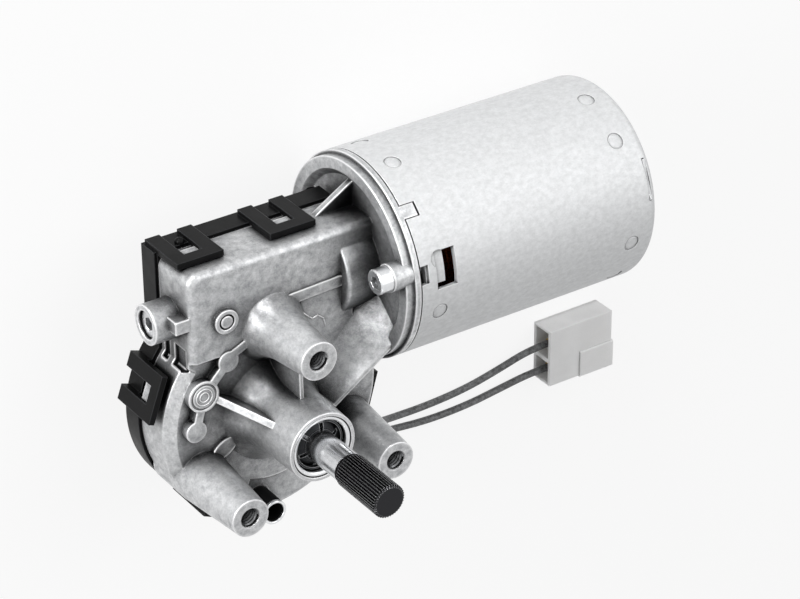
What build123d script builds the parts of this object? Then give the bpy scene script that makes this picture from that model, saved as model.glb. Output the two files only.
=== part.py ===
"""Geared wiper motor: a long can motor with a worm gearbox, two leads and a plug.

Frame, in millimetres: the origin is on the output shaft's axis, in the plane of the
mounting bosses' faces. +Z runs out along the output shaft. +X runs along the motor
from the gearbox to the closed end of the can. The motor lies on its can.
"""

import os
from math import atan, atan2, ceil, cos, degrees, hypot, pi, radians, sin, tan

from build123d import *

os.makedirs("parts", exist_ok=True)

# Worm and wheel: a single-start right-hand worm drives a moulded wheel
gear_module = 1.25
wheel_teeth = 56
worm_quotient = 10
pressure_angle = 20
flank_play = 0.3
tooth_depth_factor = 1.2
wheel_width = 10
wheel_web = 4
wheel_rim = 4
wheel_ribs = 6
wheel_rib_width = 2
worm_turns = 7

wheel_pitch_radius = gear_module * wheel_teeth / 2
worm_pitch_radius = gear_module * worm_quotient / 2
centre_distance = wheel_pitch_radius + worm_pitch_radius
tooth_tip = wheel_pitch_radius + gear_module
worm_pitch = pi * gear_module
lead_angle = degrees(atan(1 / worm_quotient))

# Heights along the output shaft
front_z = -27.7
split_z = -46.5
motor_z = -39.5
seal_thickness = 0.8
cover_depth = 9.2

# Output shaft and what sits on it
shaft_radius = 5.5
shaft_plain_end = 14
shaft_end = 39
serration_radius = 6
serration_count = 38
serration_depth = 0.45
serration_chamfer = 0.8
running_clearance = 0.04
bush_radius = 8
bush_length = 12
hub_radius = 12.5
hub_flare = 7
hub_draft = 0.6
hub_flare_z = -17.7
hub_recess_radius = 11.3
hub_recess_depth = 5
seal_ring_radius = 9.6
washer_radius = 9.1
washer_thickness = 0.7
axial_play = 0.3
wheel_hub_radius = 10
claw_slots = 6
claw_slot_width = 1.4
claw_slot_reach = 7.7
claw_start_angle = 20
claw_crown = 1.9
serration_groove = 0.4
seal_ring_chamfer = 0.5
bush_chamfer = 0.5
thrust_seat_height = 4
thrust_seat_radius = 6.5
thread_sink = 0.3
cup_depth = 8

# Mounting bosses with M8 threads
boss_circle_radius = 33
boss_first_angle = 91
boss_count = 3
boss_end_radius = 6.8
boss_mid_radius = 8.4
boss_mid_z = -17
boss_foot_radius = 13.5
boss_column_radius = 9.4
boss_core_radius = 3.4
boss_mouth_chamfer = 0.4
boss_hole_depth = 20

# Gear housing casting
wheel_room = 1.95
bowl_wall = 2.8
ceiling_thickness = 3.4
dish_depth = 2.4
rim_bevel_width = 3.6
rim_bevel_depth = 3.2
rim_bevel_start = 141
rim_bevel_arc = 189
dish_top_y = 28
tunnel_left = -31.8
tunnel_top = 60.5
tunnel_wall = 3
tunnel_bore_radius = 8.6
casting_edge = 2.4
casting_corner = 4
thrust_boss_radius = 7
thrust_boss_face = -41.5
thrust_screw_radius = 5
thrust_screw_length = 7
thrust_screw_sink = 1.2
screw_socket_radius = 2.5
screw_socket_depth = 3
thrust_pad_radius = 4.6
side_lug_reach = 4.8
side_lug_low = 40.7
side_lug_top = 45.3
side_lug_front_z = -28.6
side_groove_low = 23.5
side_groove_top = 32
side_groove_depth = 1.2
side_grooves = ((-45, -41.5), (-38.5, -31.5))
web_foot = (17, 1)
web_tip_y = 14
web_ridge_foot = (16.5, 0.5, -19)
web_ridge_tip = (50, 33.2, -9.9)
web_ridge_width = 1.4
web_foot_reach = 9
web_tip_reach = 11
rib_width = 3
disc_rib_width = 2.4
rib_top_z = -11.5
boss_web_width = 1.3
pad_radius = 3.8
pad_height = 0.7
pad_spots = ((-18.3, 25.5), (-31.5, 3))
button_spot = (-19, 41.3)
button_radius = 4.3
button_height = 1.8
disc_spot = (-28.2, 15.5)
disc_radius = 5.7
disc_height = 0.8
disc_groove = 0.4
pad_bar = ((-16, 28), (-10, 30.5))
strip_start = (4.6, 40.9)
strip_end = (25, 41.6)
strip_width = 4
strip_height = 0.8
bearing_bulge_radius = 16.8
bearing_bulge_x = 26
bearing_bulge_edge = 1.2
pocket_start = 30.5
pocket_outer = 28
pocket_floor = -31.2
lead_hole_spot = (9.8, -22.2)
lead_hole_radius = 6
gusset_thickness = 2.5
gusset_tip_x = 24
gusset_top_y = 71
recess_inner = 27
recess_half_angle = 22
recess_floor = -31.2
cut_margin = 1
oval_spot = (-20, -8.5)
oval_long = 5
oval_short = 3
oval_height = 1.2
oval_turn = 30

# Motor flange at the end of the gear housing
flange_front = 36.5
flange_face = 41.5
flange_step = 2
flange_step_inset = 1.3
flange_rim_width = 5.5
flange_dish_depth = 2.4
gasket_thickness = 0.5
gasket_inset = 0.3
gasket_width = 3
flange_screw_inset = 5
flange_screw_angle = 76
flange_screw_count = 2
flange_screw_radius = 2
flange_screw_head_radius = 4.4
flange_screw_head = 5
flange_screw_length = 19
flange_ear_radius = 4.9
flange_ear_front = 32
flange_socket_radius = 2.3
flange_socket_depth = 2.6
screw_lug_width = 12
screw_lug_length = 7.4

# Motor can, end cap and magnets
can_radius = 36.5
can_wall = 2
can_end = 140
can_lip = 3
can_lip_width = 5
end_cap_wall = 2
cap_lug_sink = 0.4
cup_radius = 8.5
rear_bush_radius = 6.5
rear_bush_length = 6
bush_clip_radius = 12
stake_radius = 3
stake_depth = 0.35
stake_near_x = 49.5
stake_far_x = 129.5
stake_near_angles = (13, 72)
stake_far_angles = (13, 43)
notch_1_length = 5.6
notch_1_width = 5.2
notch_1_angle = 43.5
notch_2_length = 3
notch_2_width = 6.5
notch_2_angle = 78.4
window_start = 48
window_length = 8
window_width = 13.2
window_angle = 78.3
slot_x = 136.5
slot_length = 1.2
slot_width = 15
slot_angle = 68.3
slot_count = 3
magnet_count = 4
magnet_thickness = 6
magnet_start = 62
magnet_length = 60
magnet_span = 66
magnet_first_angle = 28
magnet_clip_inset = 4
clip_play = 0.4
clip_leg_turn = 1.6
clip_thickness = 0.8
fit_gap = 0.3

# Armature
journal_radius = 4
air_gap = 0.7
core_slots = 12
core_slot_width = 4
core_slot_depth = 11
core_slot_lip = 1.5
winding_round = 3
winding_overhang = 7
commutator_start = 43.5
commutator_length = 15.5
commutator_riser = 1.5
commutator_radius = 12
commutator_bars = 12
commutator_slit = 0.6
armature_bush_radius = 6.5
armature_bush_inset = 4
worm_bush_radius = 6.5
worm_bush_length = 9
thrust_pad_length = 3

# Brush gear
brush_plate_thickness = 2.5
brush_plate_bore = 14.5
brush_width = 6
brush_play = 0.15
brush_box_length = 17
spring_play = 0.1
choke_circle = 18
choke_turn = 90
brush_height = 6
brush_length = 12
brush_gap = 0.3
brush_box_wall = 0.8
brush_angle = 15
brush_count = 2
spring_width = 4
spring_thickness = 0.5
choke_radius = 2.5
choke_length = 9
choke_core_radius = 1.2

# Rear cover with its snap clips
cover_wall = 2.4
cover_floor = 2.4
cover_overhang = 1
cover_chamfer = 1
cover_rib_width = 1.6
clip_tail_z = -54.5
clip_width = 17.5
clip_bar = 4.6
clip_leg = 5.4
clip_front_z = -34
clip_plate = 2.2
top_clip_stand = 0.4
left_clip_stand = 2
round_clip_stand = 0.6
lug_rise = 1.2
clip_centres_x = (-23.2, 12)
clip_angles = (160, 245, 344)
lug_length = 4
cover_clearance = 0.5

# Vent tube through the housing's front
vent_position = (-6.8, -34.4)
vent_end_z = -20
vent_radius = 4.5
vent_bore_radius = 3.5
vent_ring = 1.2
vent_chamfer = 0.3

# Leads, grommet and two-way plug
lead_radius = 1.35
exit_angle = -36
exit_reach = 5.5
exit_z = -52
exit_run = 9
entry_run = 9
grommet_sink = 2
grommet_stand = 1.1
lead_pitch = 3.8
grommet_skin = 0.8
ground_play = 0.05
grommet_radius = 3.4
grommet_flange_radius = 4.5
grommet_flange = 2
ground_z = motor_z - can_radius
plug_start = 142.8
plug_length = 28.8
plug_top = -37.8
plug_split = -50.6
plug_bottom = -61.1
plug_thickness = 10
plug_wall = 1.2
plug_cell_wall = 0.9
plug_step = 0.6
plug_entry = 8
plug_web = 6
blade_width = 6.3
blade_thickness = 0.8
blade_length = 20
blade_play = 0.2
plug_spots = (-45.6, -56)
plug_crimp_inset = 3
crimp_radius = 1.8
crimp_length = 5
bend_share = 0.45
cover_rib_height = 1
cover_rib_count = 8

motor_plane = Plane(origin=(0, centre_distance, motor_z), x_dir=(0, 1, 0), z_dir=(1, 0, 0))
motor_profile = Plane(origin=(0, centre_distance, motor_z), x_dir=(1, 0, 0), z_dir=(0, 0, 1))
motor_axis = Axis((0, centre_distance, motor_z), (1, 0, 0))
cavity_radius = tooth_tip + wheel_room
bowl_radius = cavity_radius + bowl_wall
core_start = magnet_start + magnet_clip_inset
core_length = magnet_length - 2 * magnet_clip_inset
can_inner = can_radius - can_wall
can_start = flange_face + gasket_thickness
can_lip_inner = can_radius - can_lip_width
flange_screw_circle = can_radius - flange_screw_inset
flange_dish_radius = can_radius - flange_rim_width
flange_floor_x = flange_front + flange_dish_depth
exit_radius = bowl_radius + exit_reach
grommet_seat = bowl_radius + grommet_stand
grommet_start = bowl_radius - grommet_sink
cover_top = split_z - seal_thickness
cover_bottom = cover_top - cover_depth
ceiling_z = front_z - dish_depth - ceiling_thickness


def polar(radius, angle):
    """Point at a radius and an angle in degrees."""
    return (radius * cos(radians(angle)), radius * sin(radians(angle)))


def motor_at(x, radius, angle):
    """Plane on the motor's axis circle: x along the can, y round it, z outwards."""
    across, up = polar(radius, angle)
    out = (0, cos(radians(angle)), sin(radians(angle)))
    return Plane(origin=(x, centre_distance + across, motor_z + up), x_dir=(1, 0, 0), z_dir=out)


def upright(angle, centre=(0, 0)):
    """Upright plane through a point: x outwards at an angle, y along +Z."""
    side = polar(1, angle)
    return Plane(
        origin=(centre[0], centre[1], 0),
        x_dir=(side[0], side[1], 0),
        z_dir=(side[1], -side[0], 0),
    )


def clip_planes():
    """Seats of the clips: planes with x along the wall and z outwards, each with a stand-off."""
    seats = []
    for x in clip_centres_x:
        top = Plane(origin=(x, tunnel_top, split_z), x_dir=(-1, 0, 0), z_dir=(0, 1, 0))
        seats.append((top, top_clip_stand))
    for angle, stand in zip(clip_angles, (left_clip_stand, round_clip_stand, round_clip_stand)):
        side = polar(1, angle)
        flank = Plane(
            origin=(bowl_radius * side[0], bowl_radius * side[1], split_z),
            x_dir=(-side[1], side[0], 0),
            z_dir=(side[0], side[1], 0),
        )
        seats.append((flank, stand))
    return seats


def outline(grow, mode=Mode.ADD):
    """Rear outline of the gearbox: wheel bowl and worm tunnel, grown by one value."""
    left = tunnel_left - grow
    right = flange_front - cover_clearance + grow
    Circle(bowl_radius + grow, mode=mode)
    with Locations((left, 0)):
        Rectangle(right - left, tunnel_top + grow, align=(Align.MIN, Align.MIN), mode=mode)


def bar(start, end, width):
    """Round-ended bar between two points of the open sketch."""
    run = hypot(end[0] - start[0], end[1] - start[1])
    turn = degrees(atan2(end[1] - start[1], end[0] - start[0]))
    with Locations(Location(((start[0] + end[0]) / 2, (start[1] + end[1]) / 2), turn)):
        SlotCenterToCenter(run, width)


# Gear housing: bowl, worm tunnel, hub, bosses and motor flange in one casting
boss_spots = [polar(boss_circle_radius, boss_first_angle + 360 / boss_count * n) for n in range(boss_count)]
dish_floor = front_z - dish_depth
bush_pocket_start = flange_front - armature_bush_inset
worm_bush_start = tunnel_left + tunnel_wall
worm_room_start = worm_bush_start + worm_bush_length
disc_distance = hypot(*disc_spot)
disc_rib_angle = degrees(atan2(disc_spot[1], disc_spot[0]))
lug_root = bowl_wall / 2
clip_window = clip_width - 2 * clip_leg
lug_low = clip_front_z - clip_bar - fit_gap - lug_length - split_z
recess_outer = bowl_radius + cut_margin

with BuildPart() as bosses:
    with BuildSketch(upright(0, boss_spots[0])):
        with BuildLine():
            boss_side = Line((boss_end_radius, 0), (boss_mid_radius, boss_mid_z))
            boss_foot = TangentArc(boss_side @ 1, (boss_foot_radius, dish_floor), tangent=boss_side % 1)
            Polyline(boss_foot @ 1, (0, dish_floor), (0, 0), boss_side @ 0)
        make_face()
    revolve(axis=Axis((*boss_spots[0], 0), (0, 0, 1)))
    for spot in boss_spots[1:]:
        with BuildSketch(upright(0, spot)):
            with BuildLine():
                Polyline(
                    (0, 0),
                    (boss_end_radius, 0),
                    (boss_column_radius, dish_floor),
                    (boss_column_radius, split_z),
                    (0, split_z),
                    close=True,
                )
            make_face()
        revolve(axis=Axis((*spot, 0), (0, 0, 1)))

web_run = Vector(*web_ridge_tip) - Vector(*web_ridge_foot)
web_ends = ((web_ridge_foot, web_foot_reach), (web_ridge_tip, web_tip_reach))
with BuildPart() as ridged_web:
    for (x, y, ridge_z), reach in web_ends:
        across = Plane(origin=(x, y, 0), x_dir=(-web_run.Y, web_run.X, 0), z_dir=(web_run.X, web_run.Y, 0))
        with BuildSketch(across):
            with BuildLine():
                Polyline(
                    (0, ridge_z),
                    (reach, dish_floor),
                    (reach, recess_floor - cut_margin),
                    (-web_ridge_width, recess_floor - cut_margin),
                    (-web_ridge_width, ridge_z),
                    close=True,
                )
            make_face()
    loft()
    with BuildSketch(Plane.XY.offset(split_z)):
        Rectangle(2 * flange_floor_x, 2 * tunnel_top)
    extrude(amount=-split_z, mode=Mode.INTERSECT)

with BuildPart() as bearing_bulge:
    with BuildSketch(motor_plane.offset(bearing_bulge_x)):
        Circle(bearing_bulge_radius)
    extrude(amount=flange_floor_x - bearing_bulge_x)
    fillet(bearing_bulge.edges().group_by(Axis.X)[0], bearing_bulge_edge)
    with BuildSketch(Plane.XY.offset(motor_z)):
        Rectangle(2 * flange_face, 2 * (centre_distance + bearing_bulge_radius))
    extrude(amount=2 * bearing_bulge_radius, mode=Mode.INTERSECT)

with BuildPart() as gear_housing:
    with BuildSketch(Plane.XY.offset(split_z)):
        Circle(bowl_radius)
    extrude(amount=front_z - split_z)
    with BuildSketch(Plane.XY.offset(split_z)):
        with BuildLine():
            Polyline(
                (tunnel_left, 0),
                (tunnel_left, tunnel_top),
                (flange_floor_x, tunnel_top),
                (flange_floor_x, web_tip_y),
                web_foot,
                close=True,
            )
        make_face()
    extrude(amount=front_z - split_z)
    corner = gear_housing.edges().filter_by(Axis.Z).group_by(Axis.Y)[-1].sort_by(Axis.X)[0]
    fillet(corner, casting_corner)
    with BuildSketch(Plane.XY.offset(recess_floor)):
        with BuildLine():
            Polyline(
                (0, 0),
                polar(2 * bowl_radius, recess_half_angle - 90),
                (2 * bowl_radius, -2 * bowl_radius),
                (flange_floor_x, web_tip_y),
                web_foot,
                close=True,
            )
        make_face()
    extrude(amount=front_z - recess_floor, mode=Mode.SUBTRACT)
    front_rim = gear_housing.faces().sort_by(Axis.Z)[-1].outer_wire().edges()
    front_rim = front_rim.filter_by(lambda edge: edge.center().Y > dish_top_y)
    fillet(front_rim.filter_by(lambda edge: edge.center().X < flange_front - fit_gap), casting_edge)
    with BuildSketch(Plane.XY.offset(front_z)):
        Circle(bowl_radius + cut_margin)
        with BuildLine():
            Polyline(
                (-bowl_radius, dish_top_y),
                (0, dish_top_y),
                (hub_radius, hub_radius),
                web_foot,
                (bowl_radius, dish_top_y),
                (bowl_radius, tunnel_top),
                (-bowl_radius, tunnel_top),
                close=True,
            )
        make_face(mode=Mode.SUBTRACT)
    extrude(amount=-dish_depth, mode=Mode.SUBTRACT)
    with BuildSketch(upright(rim_bevel_start)):
        with BuildLine():
            Polyline(
                (bowl_radius - rim_bevel_width, dish_floor),
                (bowl_radius, dish_floor - rim_bevel_depth),
                (bowl_radius + cut_margin, dish_floor - rim_bevel_depth),
                (bowl_radius + cut_margin, dish_floor),
                close=True,
            )
        make_face()
    revolve(axis=Axis.Z, revolution_arc=rim_bevel_arc, mode=Mode.SUBTRACT)

    # Pocket between the worm tunnel and the flange
    with BuildSketch(motor_plane.offset(pocket_start)):
        with Locations((-pocket_outer, pocket_floor - motor_z)):
            Rectangle(pocket_outer, pocket_outer, align=(Align.MIN, Align.MIN))
        Circle(pocket_outer, mode=Mode.INTERSECT)
    extrude(amount=flange_floor_x - pocket_start, mode=Mode.SUBTRACT)

    # Motor flange, turned about the motor's axis
    with BuildSketch(motor_profile):
        with BuildLine():
            Polyline(
                (flange_floor_x, 0),
                (flange_floor_x, flange_dish_radius - flange_dish_depth),
                (flange_front, flange_dish_radius),
                (flange_front, can_radius - flange_step_inset),
                (flange_face - flange_step, can_radius - flange_step_inset),
                (flange_face - flange_step, can_radius),
                (flange_face, can_radius),
                (flange_face, 0),
                close=True,
            )
        make_face()
    revolve(axis=motor_axis)
    with BuildSketch(motor_plane.offset(flange_ear_front)):
        with PolarLocations(flange_screw_circle, flange_screw_count, start_angle=flange_screw_angle):
            Circle(flange_ear_radius)
    extrude(amount=flange_face - flange_ear_front)

    # Tunnel nose and thrust boss
    with BuildSketch(motor_plane.offset(thrust_boss_face)):
        Circle(thrust_boss_radius)
    extrude(amount=tunnel_left - thrust_boss_face + casting_edge)
    with BuildSketch(Plane.XY.offset(motor_z)):
        with Locations((tunnel_left - side_lug_reach, side_lug_low)):
            Rectangle(
                side_lug_reach + casting_edge,
                side_lug_top - side_lug_low,
                align=(Align.MIN, Align.MIN),
            )
    extrude(amount=side_lug_front_z - motor_z)
    for back_z, front in side_grooves:
        with BuildSketch(Plane.XY.offset(back_z)):
            with Locations((tunnel_left - side_groove_depth, side_groove_low)):
                Rectangle(
                    2 * side_groove_depth,
                    side_groove_top - side_groove_low,
                    align=(Align.MIN, Align.MIN),
                )
        extrude(amount=front - back_z, mode=Mode.SUBTRACT)

    # Hub and bosses, each with a flared foot
    with BuildSketch(Plane.XZ):
        with BuildLine():
            hub_side = Line((hub_radius, 0), (hub_radius + hub_draft, hub_flare_z))
            hub_foot = TangentArc(hub_side @ 1, (hub_radius + hub_flare, dish_floor), tangent=hub_side % 1)
            Polyline(hub_foot @ 1, (0, dish_floor), (0, 0), hub_side @ 0)
        make_face()
    revolve(axis=Axis.Z)
    add(bosses.part)
    add(ridged_web.part)
    add(bearing_bulge.part)

    # Web, ribs and gusset
    with BuildSketch(upright(disc_rib_angle)):
        with BuildLine():
            Polyline(
                (hub_radius, rib_top_z),
                (disc_distance - disc_radius, front_z + disc_height),
                (disc_distance, front_z + disc_height),
                (disc_distance, dish_floor),
                (0, dish_floor),
                (0, rib_top_z),
                close=True,
            )
        make_face()
    extrude(amount=disc_rib_width / 2, both=True)
    with BuildSketch(upright(boss_first_angle)):
        with BuildLine():
            Polyline(
                (0, dish_floor),
                (0, rib_top_z),
                (boss_circle_radius, rib_top_z),
                (boss_circle_radius, dish_floor),
                close=True,
            )
        make_face()
    extrude(amount=boss_web_width / 2, both=True)
    with BuildSketch(Plane.XY.offset(motor_z - gusset_thickness)):
        with BuildLine():
            Polyline(
                (gusset_tip_x, tunnel_top - tunnel_wall),
                (gusset_tip_x, tunnel_top),
                (flange_face, gusset_top_y),
                (flange_face, tunnel_top - tunnel_wall),
                close=True,
            )
        make_face()
    extrude(amount=gusset_thickness)

    # Pads, button, disc and strip on the front face
    with BuildSketch(Plane.XY.offset(dish_floor)):
        with Locations(*pad_spots):
            Circle(pad_radius)
        bar(*pad_bar, rib_width)
        bar(pad_spots[0], disc_spot, rib_width)
        bar(disc_spot, pad_spots[1], rib_width)
    extrude(amount=dish_depth + pad_height)
    with BuildSketch(Plane.XY.offset(dish_floor)):
        with Locations(disc_spot):
            Circle(disc_radius)
    extrude(amount=dish_depth + disc_height)
    with BuildSketch(Plane.XY.offset(front_z + disc_height)):
        with Locations(disc_spot):
            Circle(disc_radius - 2 * disc_groove)
            Circle(disc_radius - 4 * disc_groove, mode=Mode.SUBTRACT)
    extrude(amount=-disc_groove, mode=Mode.SUBTRACT)
    with BuildSketch(Plane.XY.offset(front_z)):
        with Locations(button_spot):
            Circle(button_radius)
    extrude(amount=button_height)
    with BuildSketch(Plane.XY.offset(front_z + button_height)):
        with Locations(button_spot):
            Circle(button_radius * 2 / 3)
            Circle(button_radius / 2, mode=Mode.SUBTRACT)
    extrude(amount=-button_height / 2, mode=Mode.SUBTRACT)
    with BuildSketch(Plane.XY.offset(front_z)):
        bar(strip_start, strip_end, strip_width)
    extrude(amount=strip_height)
    with BuildSketch(Plane.XY.offset(dish_floor)):
        with Locations(Location(oval_spot, oval_turn)):
            Ellipse(oval_long, oval_short)
    extrude(amount=oval_height)

    # Clear recess between the two lower bosses
    with BuildSketch(Plane.XY.offset(recess_floor)):
        with BuildLine():
            left_side = Line(
                polar(recess_inner, -90 - recess_half_angle), polar(recess_outer, -90 - recess_half_angle)
            )
            right_side = Line(
                polar(recess_inner, -90 + recess_half_angle), polar(recess_outer, -90 + recess_half_angle)
            )
            ThreePointArc(left_side @ 0, (0, -recess_inner), right_side @ 0)
            ThreePointArc(left_side @ 1, (0, -recess_outer), right_side @ 1)
        make_face()
    extrude(amount=front_z - recess_floor, mode=Mode.SUBTRACT)

    # Lugs that the cover's clips snap over
    for seat, stand in clip_planes():
        with BuildSketch(seat.offset(-lug_root)):
            with Locations((0, lug_low)):
                Rectangle(clip_window - 2 * fit_gap, lug_length, align=(Align.CENTER, Align.MIN))
        extrude(amount=lug_root + stand + lug_rise)

    # Wheel cavity and worm tunnel, both open to the rear
    with BuildSketch(Plane.XY.offset(split_z)):
        Circle(cavity_radius)
    extrude(amount=ceiling_z - split_z, mode=Mode.SUBTRACT)
    with BuildSketch(motor_plane.offset(worm_room_start)):
        Circle(tunnel_bore_radius)
        with Locations((0, split_z - motor_z)):
            Rectangle(2 * tunnel_bore_radius, 2 * (motor_z - split_z))
    extrude(amount=bush_pocket_start - worm_room_start, mode=Mode.SUBTRACT)

    # Bores along the motor's axis
    with BuildSketch(motor_plane.offset(bush_pocket_start)):
        Circle(armature_bush_radius)
    extrude(amount=flange_face - bush_pocket_start, mode=Mode.SUBTRACT)
    with BuildSketch(motor_plane.offset(worm_bush_start)):
        Circle(worm_bush_radius)
    extrude(amount=worm_room_start - worm_bush_start, mode=Mode.SUBTRACT)
    with BuildSketch(motor_plane.offset(thrust_boss_face)):
        Circle(thrust_screw_radius)
    extrude(amount=worm_bush_start - thrust_boss_face, mode=Mode.SUBTRACT)
    with BuildSketch(motor_plane.offset(flange_ear_front)):
        with PolarLocations(flange_screw_circle, flange_screw_count, start_angle=flange_screw_angle):
            Circle(flange_screw_radius)
    extrude(amount=flange_face - flange_ear_front, mode=Mode.SUBTRACT)

    # Hub bore and recess
    with BuildSketch(Plane.XY):
        Circle(hub_recess_radius)
    extrude(amount=-hub_recess_depth, mode=Mode.SUBTRACT)
    with BuildSketch(Plane.XY.offset(ceiling_z)):
        Circle(bush_radius)
    extrude(amount=-ceiling_z, mode=Mode.SUBTRACT)

    # Tapped holes of the bosses, with chamfered mouths
    with Locations(*[(*spot, 0) for spot in boss_spots]):
        Hole(boss_core_radius, depth=boss_hole_depth)
    mouths = gear_housing.edges().filter_by(GeomType.CIRCLE).group_by(Axis.Z)
    mouths = [edge for group in mouths for edge in group if abs(edge.center().Z) < running_clearance]
    mouths = [edge for edge in mouths if edge.radius < boss_core_radius + running_clearance]
    chamfer(mouths, boss_mouth_chamfer)

    # Hole of the motor's own leads through the flange
    with BuildSketch(motor_plane.offset(flange_front)):
        with Locations(lead_hole_spot):
            Circle(lead_hole_radius)
    extrude(amount=flange_face - flange_front, mode=Mode.SUBTRACT)
    with Locations((vent_position[0], vent_position[1], recess_floor)):
        Hole(vent_radius, depth=recess_floor - ceiling_z)

    # Locating lugs that stand in the can's notches
    for angle in (notch_1_angle, notch_1_angle + 180):
        with BuildSketch(motor_at(flange_face, can_inner, angle)):
            Rectangle(
                notch_1_length - fit_gap,
                notch_1_width - 2 * fit_gap,
                align=(Align.MIN, Align.CENTER),
            )
        extrude(amount=can_wall)
gear_housing.part.label = "gear_housing"
export_step(gear_housing.part, "parts/gear_housing.step")

# Bushes of the output shaft
front_bush_top = -hub_recess_depth
shaft_bushes = (
    ("front_shaft_bush", front_bush_top - bush_length),
    ("rear_shaft_bush", ceiling_z),
)
for label, start in shaft_bushes:
    with BuildPart() as shaft_bush:
        with BuildSketch(Plane.XY.offset(start)):
            Circle(bush_radius)
            Circle(shaft_radius + running_clearance, mode=Mode.SUBTRACT)
        extrude(amount=bush_length)
        mouth = shaft_bush.edges().filter_by(GeomType.CIRCLE).sort_by(SortBy.RADIUS)[:2]
        chamfer(mouth, bush_chamfer)
    shaft_bush.part.label = label
    export_step(shaft_bush.part, f"parts/{label}.step")

# Sealing ring pressed into the hub's mouth, with a lip turned inwards
with BuildPart() as hub_seal_ring:
    with BuildSketch(Plane.XZ):
        with BuildLine():
            Polyline(
                (seal_ring_radius, -hub_recess_depth),
                (hub_recess_radius, -hub_recess_depth),
                (hub_recess_radius, -seal_ring_chamfer - axial_play),
                (hub_recess_radius - seal_ring_chamfer, -axial_play),
                (seal_ring_radius + seal_ring_chamfer, -axial_play),
                (seal_ring_radius, -seal_ring_chamfer - axial_play),
                close=True,
            )
        make_face()
    revolve(axis=Axis.Z)
hub_seal_ring.part.label = "hub_seal_ring"
export_step(hub_seal_ring.part, "parts/hub_seal_ring.step")

# Output shaft: ground journal, serrated end and a chamfer
journal_end_z = cover_bottom + cover_floor + thrust_seat_height + axial_play
with BuildPart() as output_shaft:
    with BuildSketch(Plane.XY.offset(journal_end_z)):
        Circle(shaft_radius)
    extrude(amount=shaft_plain_end - journal_end_z)
    with BuildSketch(Plane.XY.offset(shaft_plain_end)):
        Circle(serration_radius)
    extrude(amount=shaft_end - shaft_plain_end)
    chamfer(output_shaft.edges().group_by(Axis.Z)[-1], serration_chamfer)
    chamfer(output_shaft.edges().group_by(Axis.Z)[0], serration_chamfer)
    with BuildSketch(Plane.XY.offset(shaft_plain_end)):
        with PolarLocations(serration_radius - serration_depth, serration_count):
            with BuildLine():
                Polyline(
                    (0, 0),
                    (2 * serration_depth, serration_groove),
                    (2 * serration_depth, -serration_groove),
                    close=True,
                )
            make_face()
    extrude(amount=shaft_end - shaft_plain_end, mode=Mode.SUBTRACT)
output_shaft.part.label = "output_shaft"
export_step(output_shaft.part, "parts/output_shaft.step")

# Thrust washer and the slotted push-on washer above it
thrust_washer_z = front_bush_top + axial_play
with BuildPart() as thrust_washer:
    with BuildSketch(Plane.XY.offset(thrust_washer_z)):
        Circle(washer_radius)
        Circle(shaft_radius + running_clearance, mode=Mode.SUBTRACT)
    extrude(amount=washer_thickness)
thrust_washer.part.label = "thrust_washer"
export_step(thrust_washer.part, "parts/thrust_washer.step")

claw_z = thrust_washer_z + washer_thickness
with BuildPart() as claw_washer:
    with BuildSketch(Plane.XZ):
        with BuildLine():
            Polyline(
                (washer_radius, claw_z),
                (washer_radius, claw_z + claw_crown),
                (washer_radius - washer_thickness, claw_z + claw_crown),
                (washer_radius - washer_thickness, claw_z + washer_thickness),
                (shaft_radius + washer_thickness, claw_z + claw_crown),
                (shaft_radius, claw_z + claw_crown),
                (shaft_radius, claw_z + claw_crown - washer_thickness),
                (shaft_radius + claw_crown - washer_thickness, claw_z),
                close=True,
            )
        make_face()
    revolve(axis=Axis.Z)
    with BuildSketch(Plane.XY.offset(claw_z)):
        with PolarLocations(0, claw_slots, start_angle=claw_start_angle):
            Rectangle(claw_slot_reach, claw_slot_width, align=(Align.MIN, Align.CENTER))
    extrude(amount=claw_crown, mode=Mode.SUBTRACT)
claw_washer.part.label = "claw_washer"
export_step(claw_washer.part, "parts/claw_washer.step")

# Steel hub moulded into the worm wheel
wheel_bottom = motor_z - wheel_width / 2
wheel_hub_top = ceiling_z - axial_play
with BuildPart() as wheel_hub:
    with BuildSketch(Plane.XY.offset(wheel_bottom)):
        Circle(wheel_hub_radius)
        Circle(shaft_radius, mode=Mode.SUBTRACT)
    extrude(amount=wheel_hub_top - wheel_bottom)
wheel_hub.part.label = "wheel_hub"
export_step(wheel_hub.part, "parts/wheel_hub.step")

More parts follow.
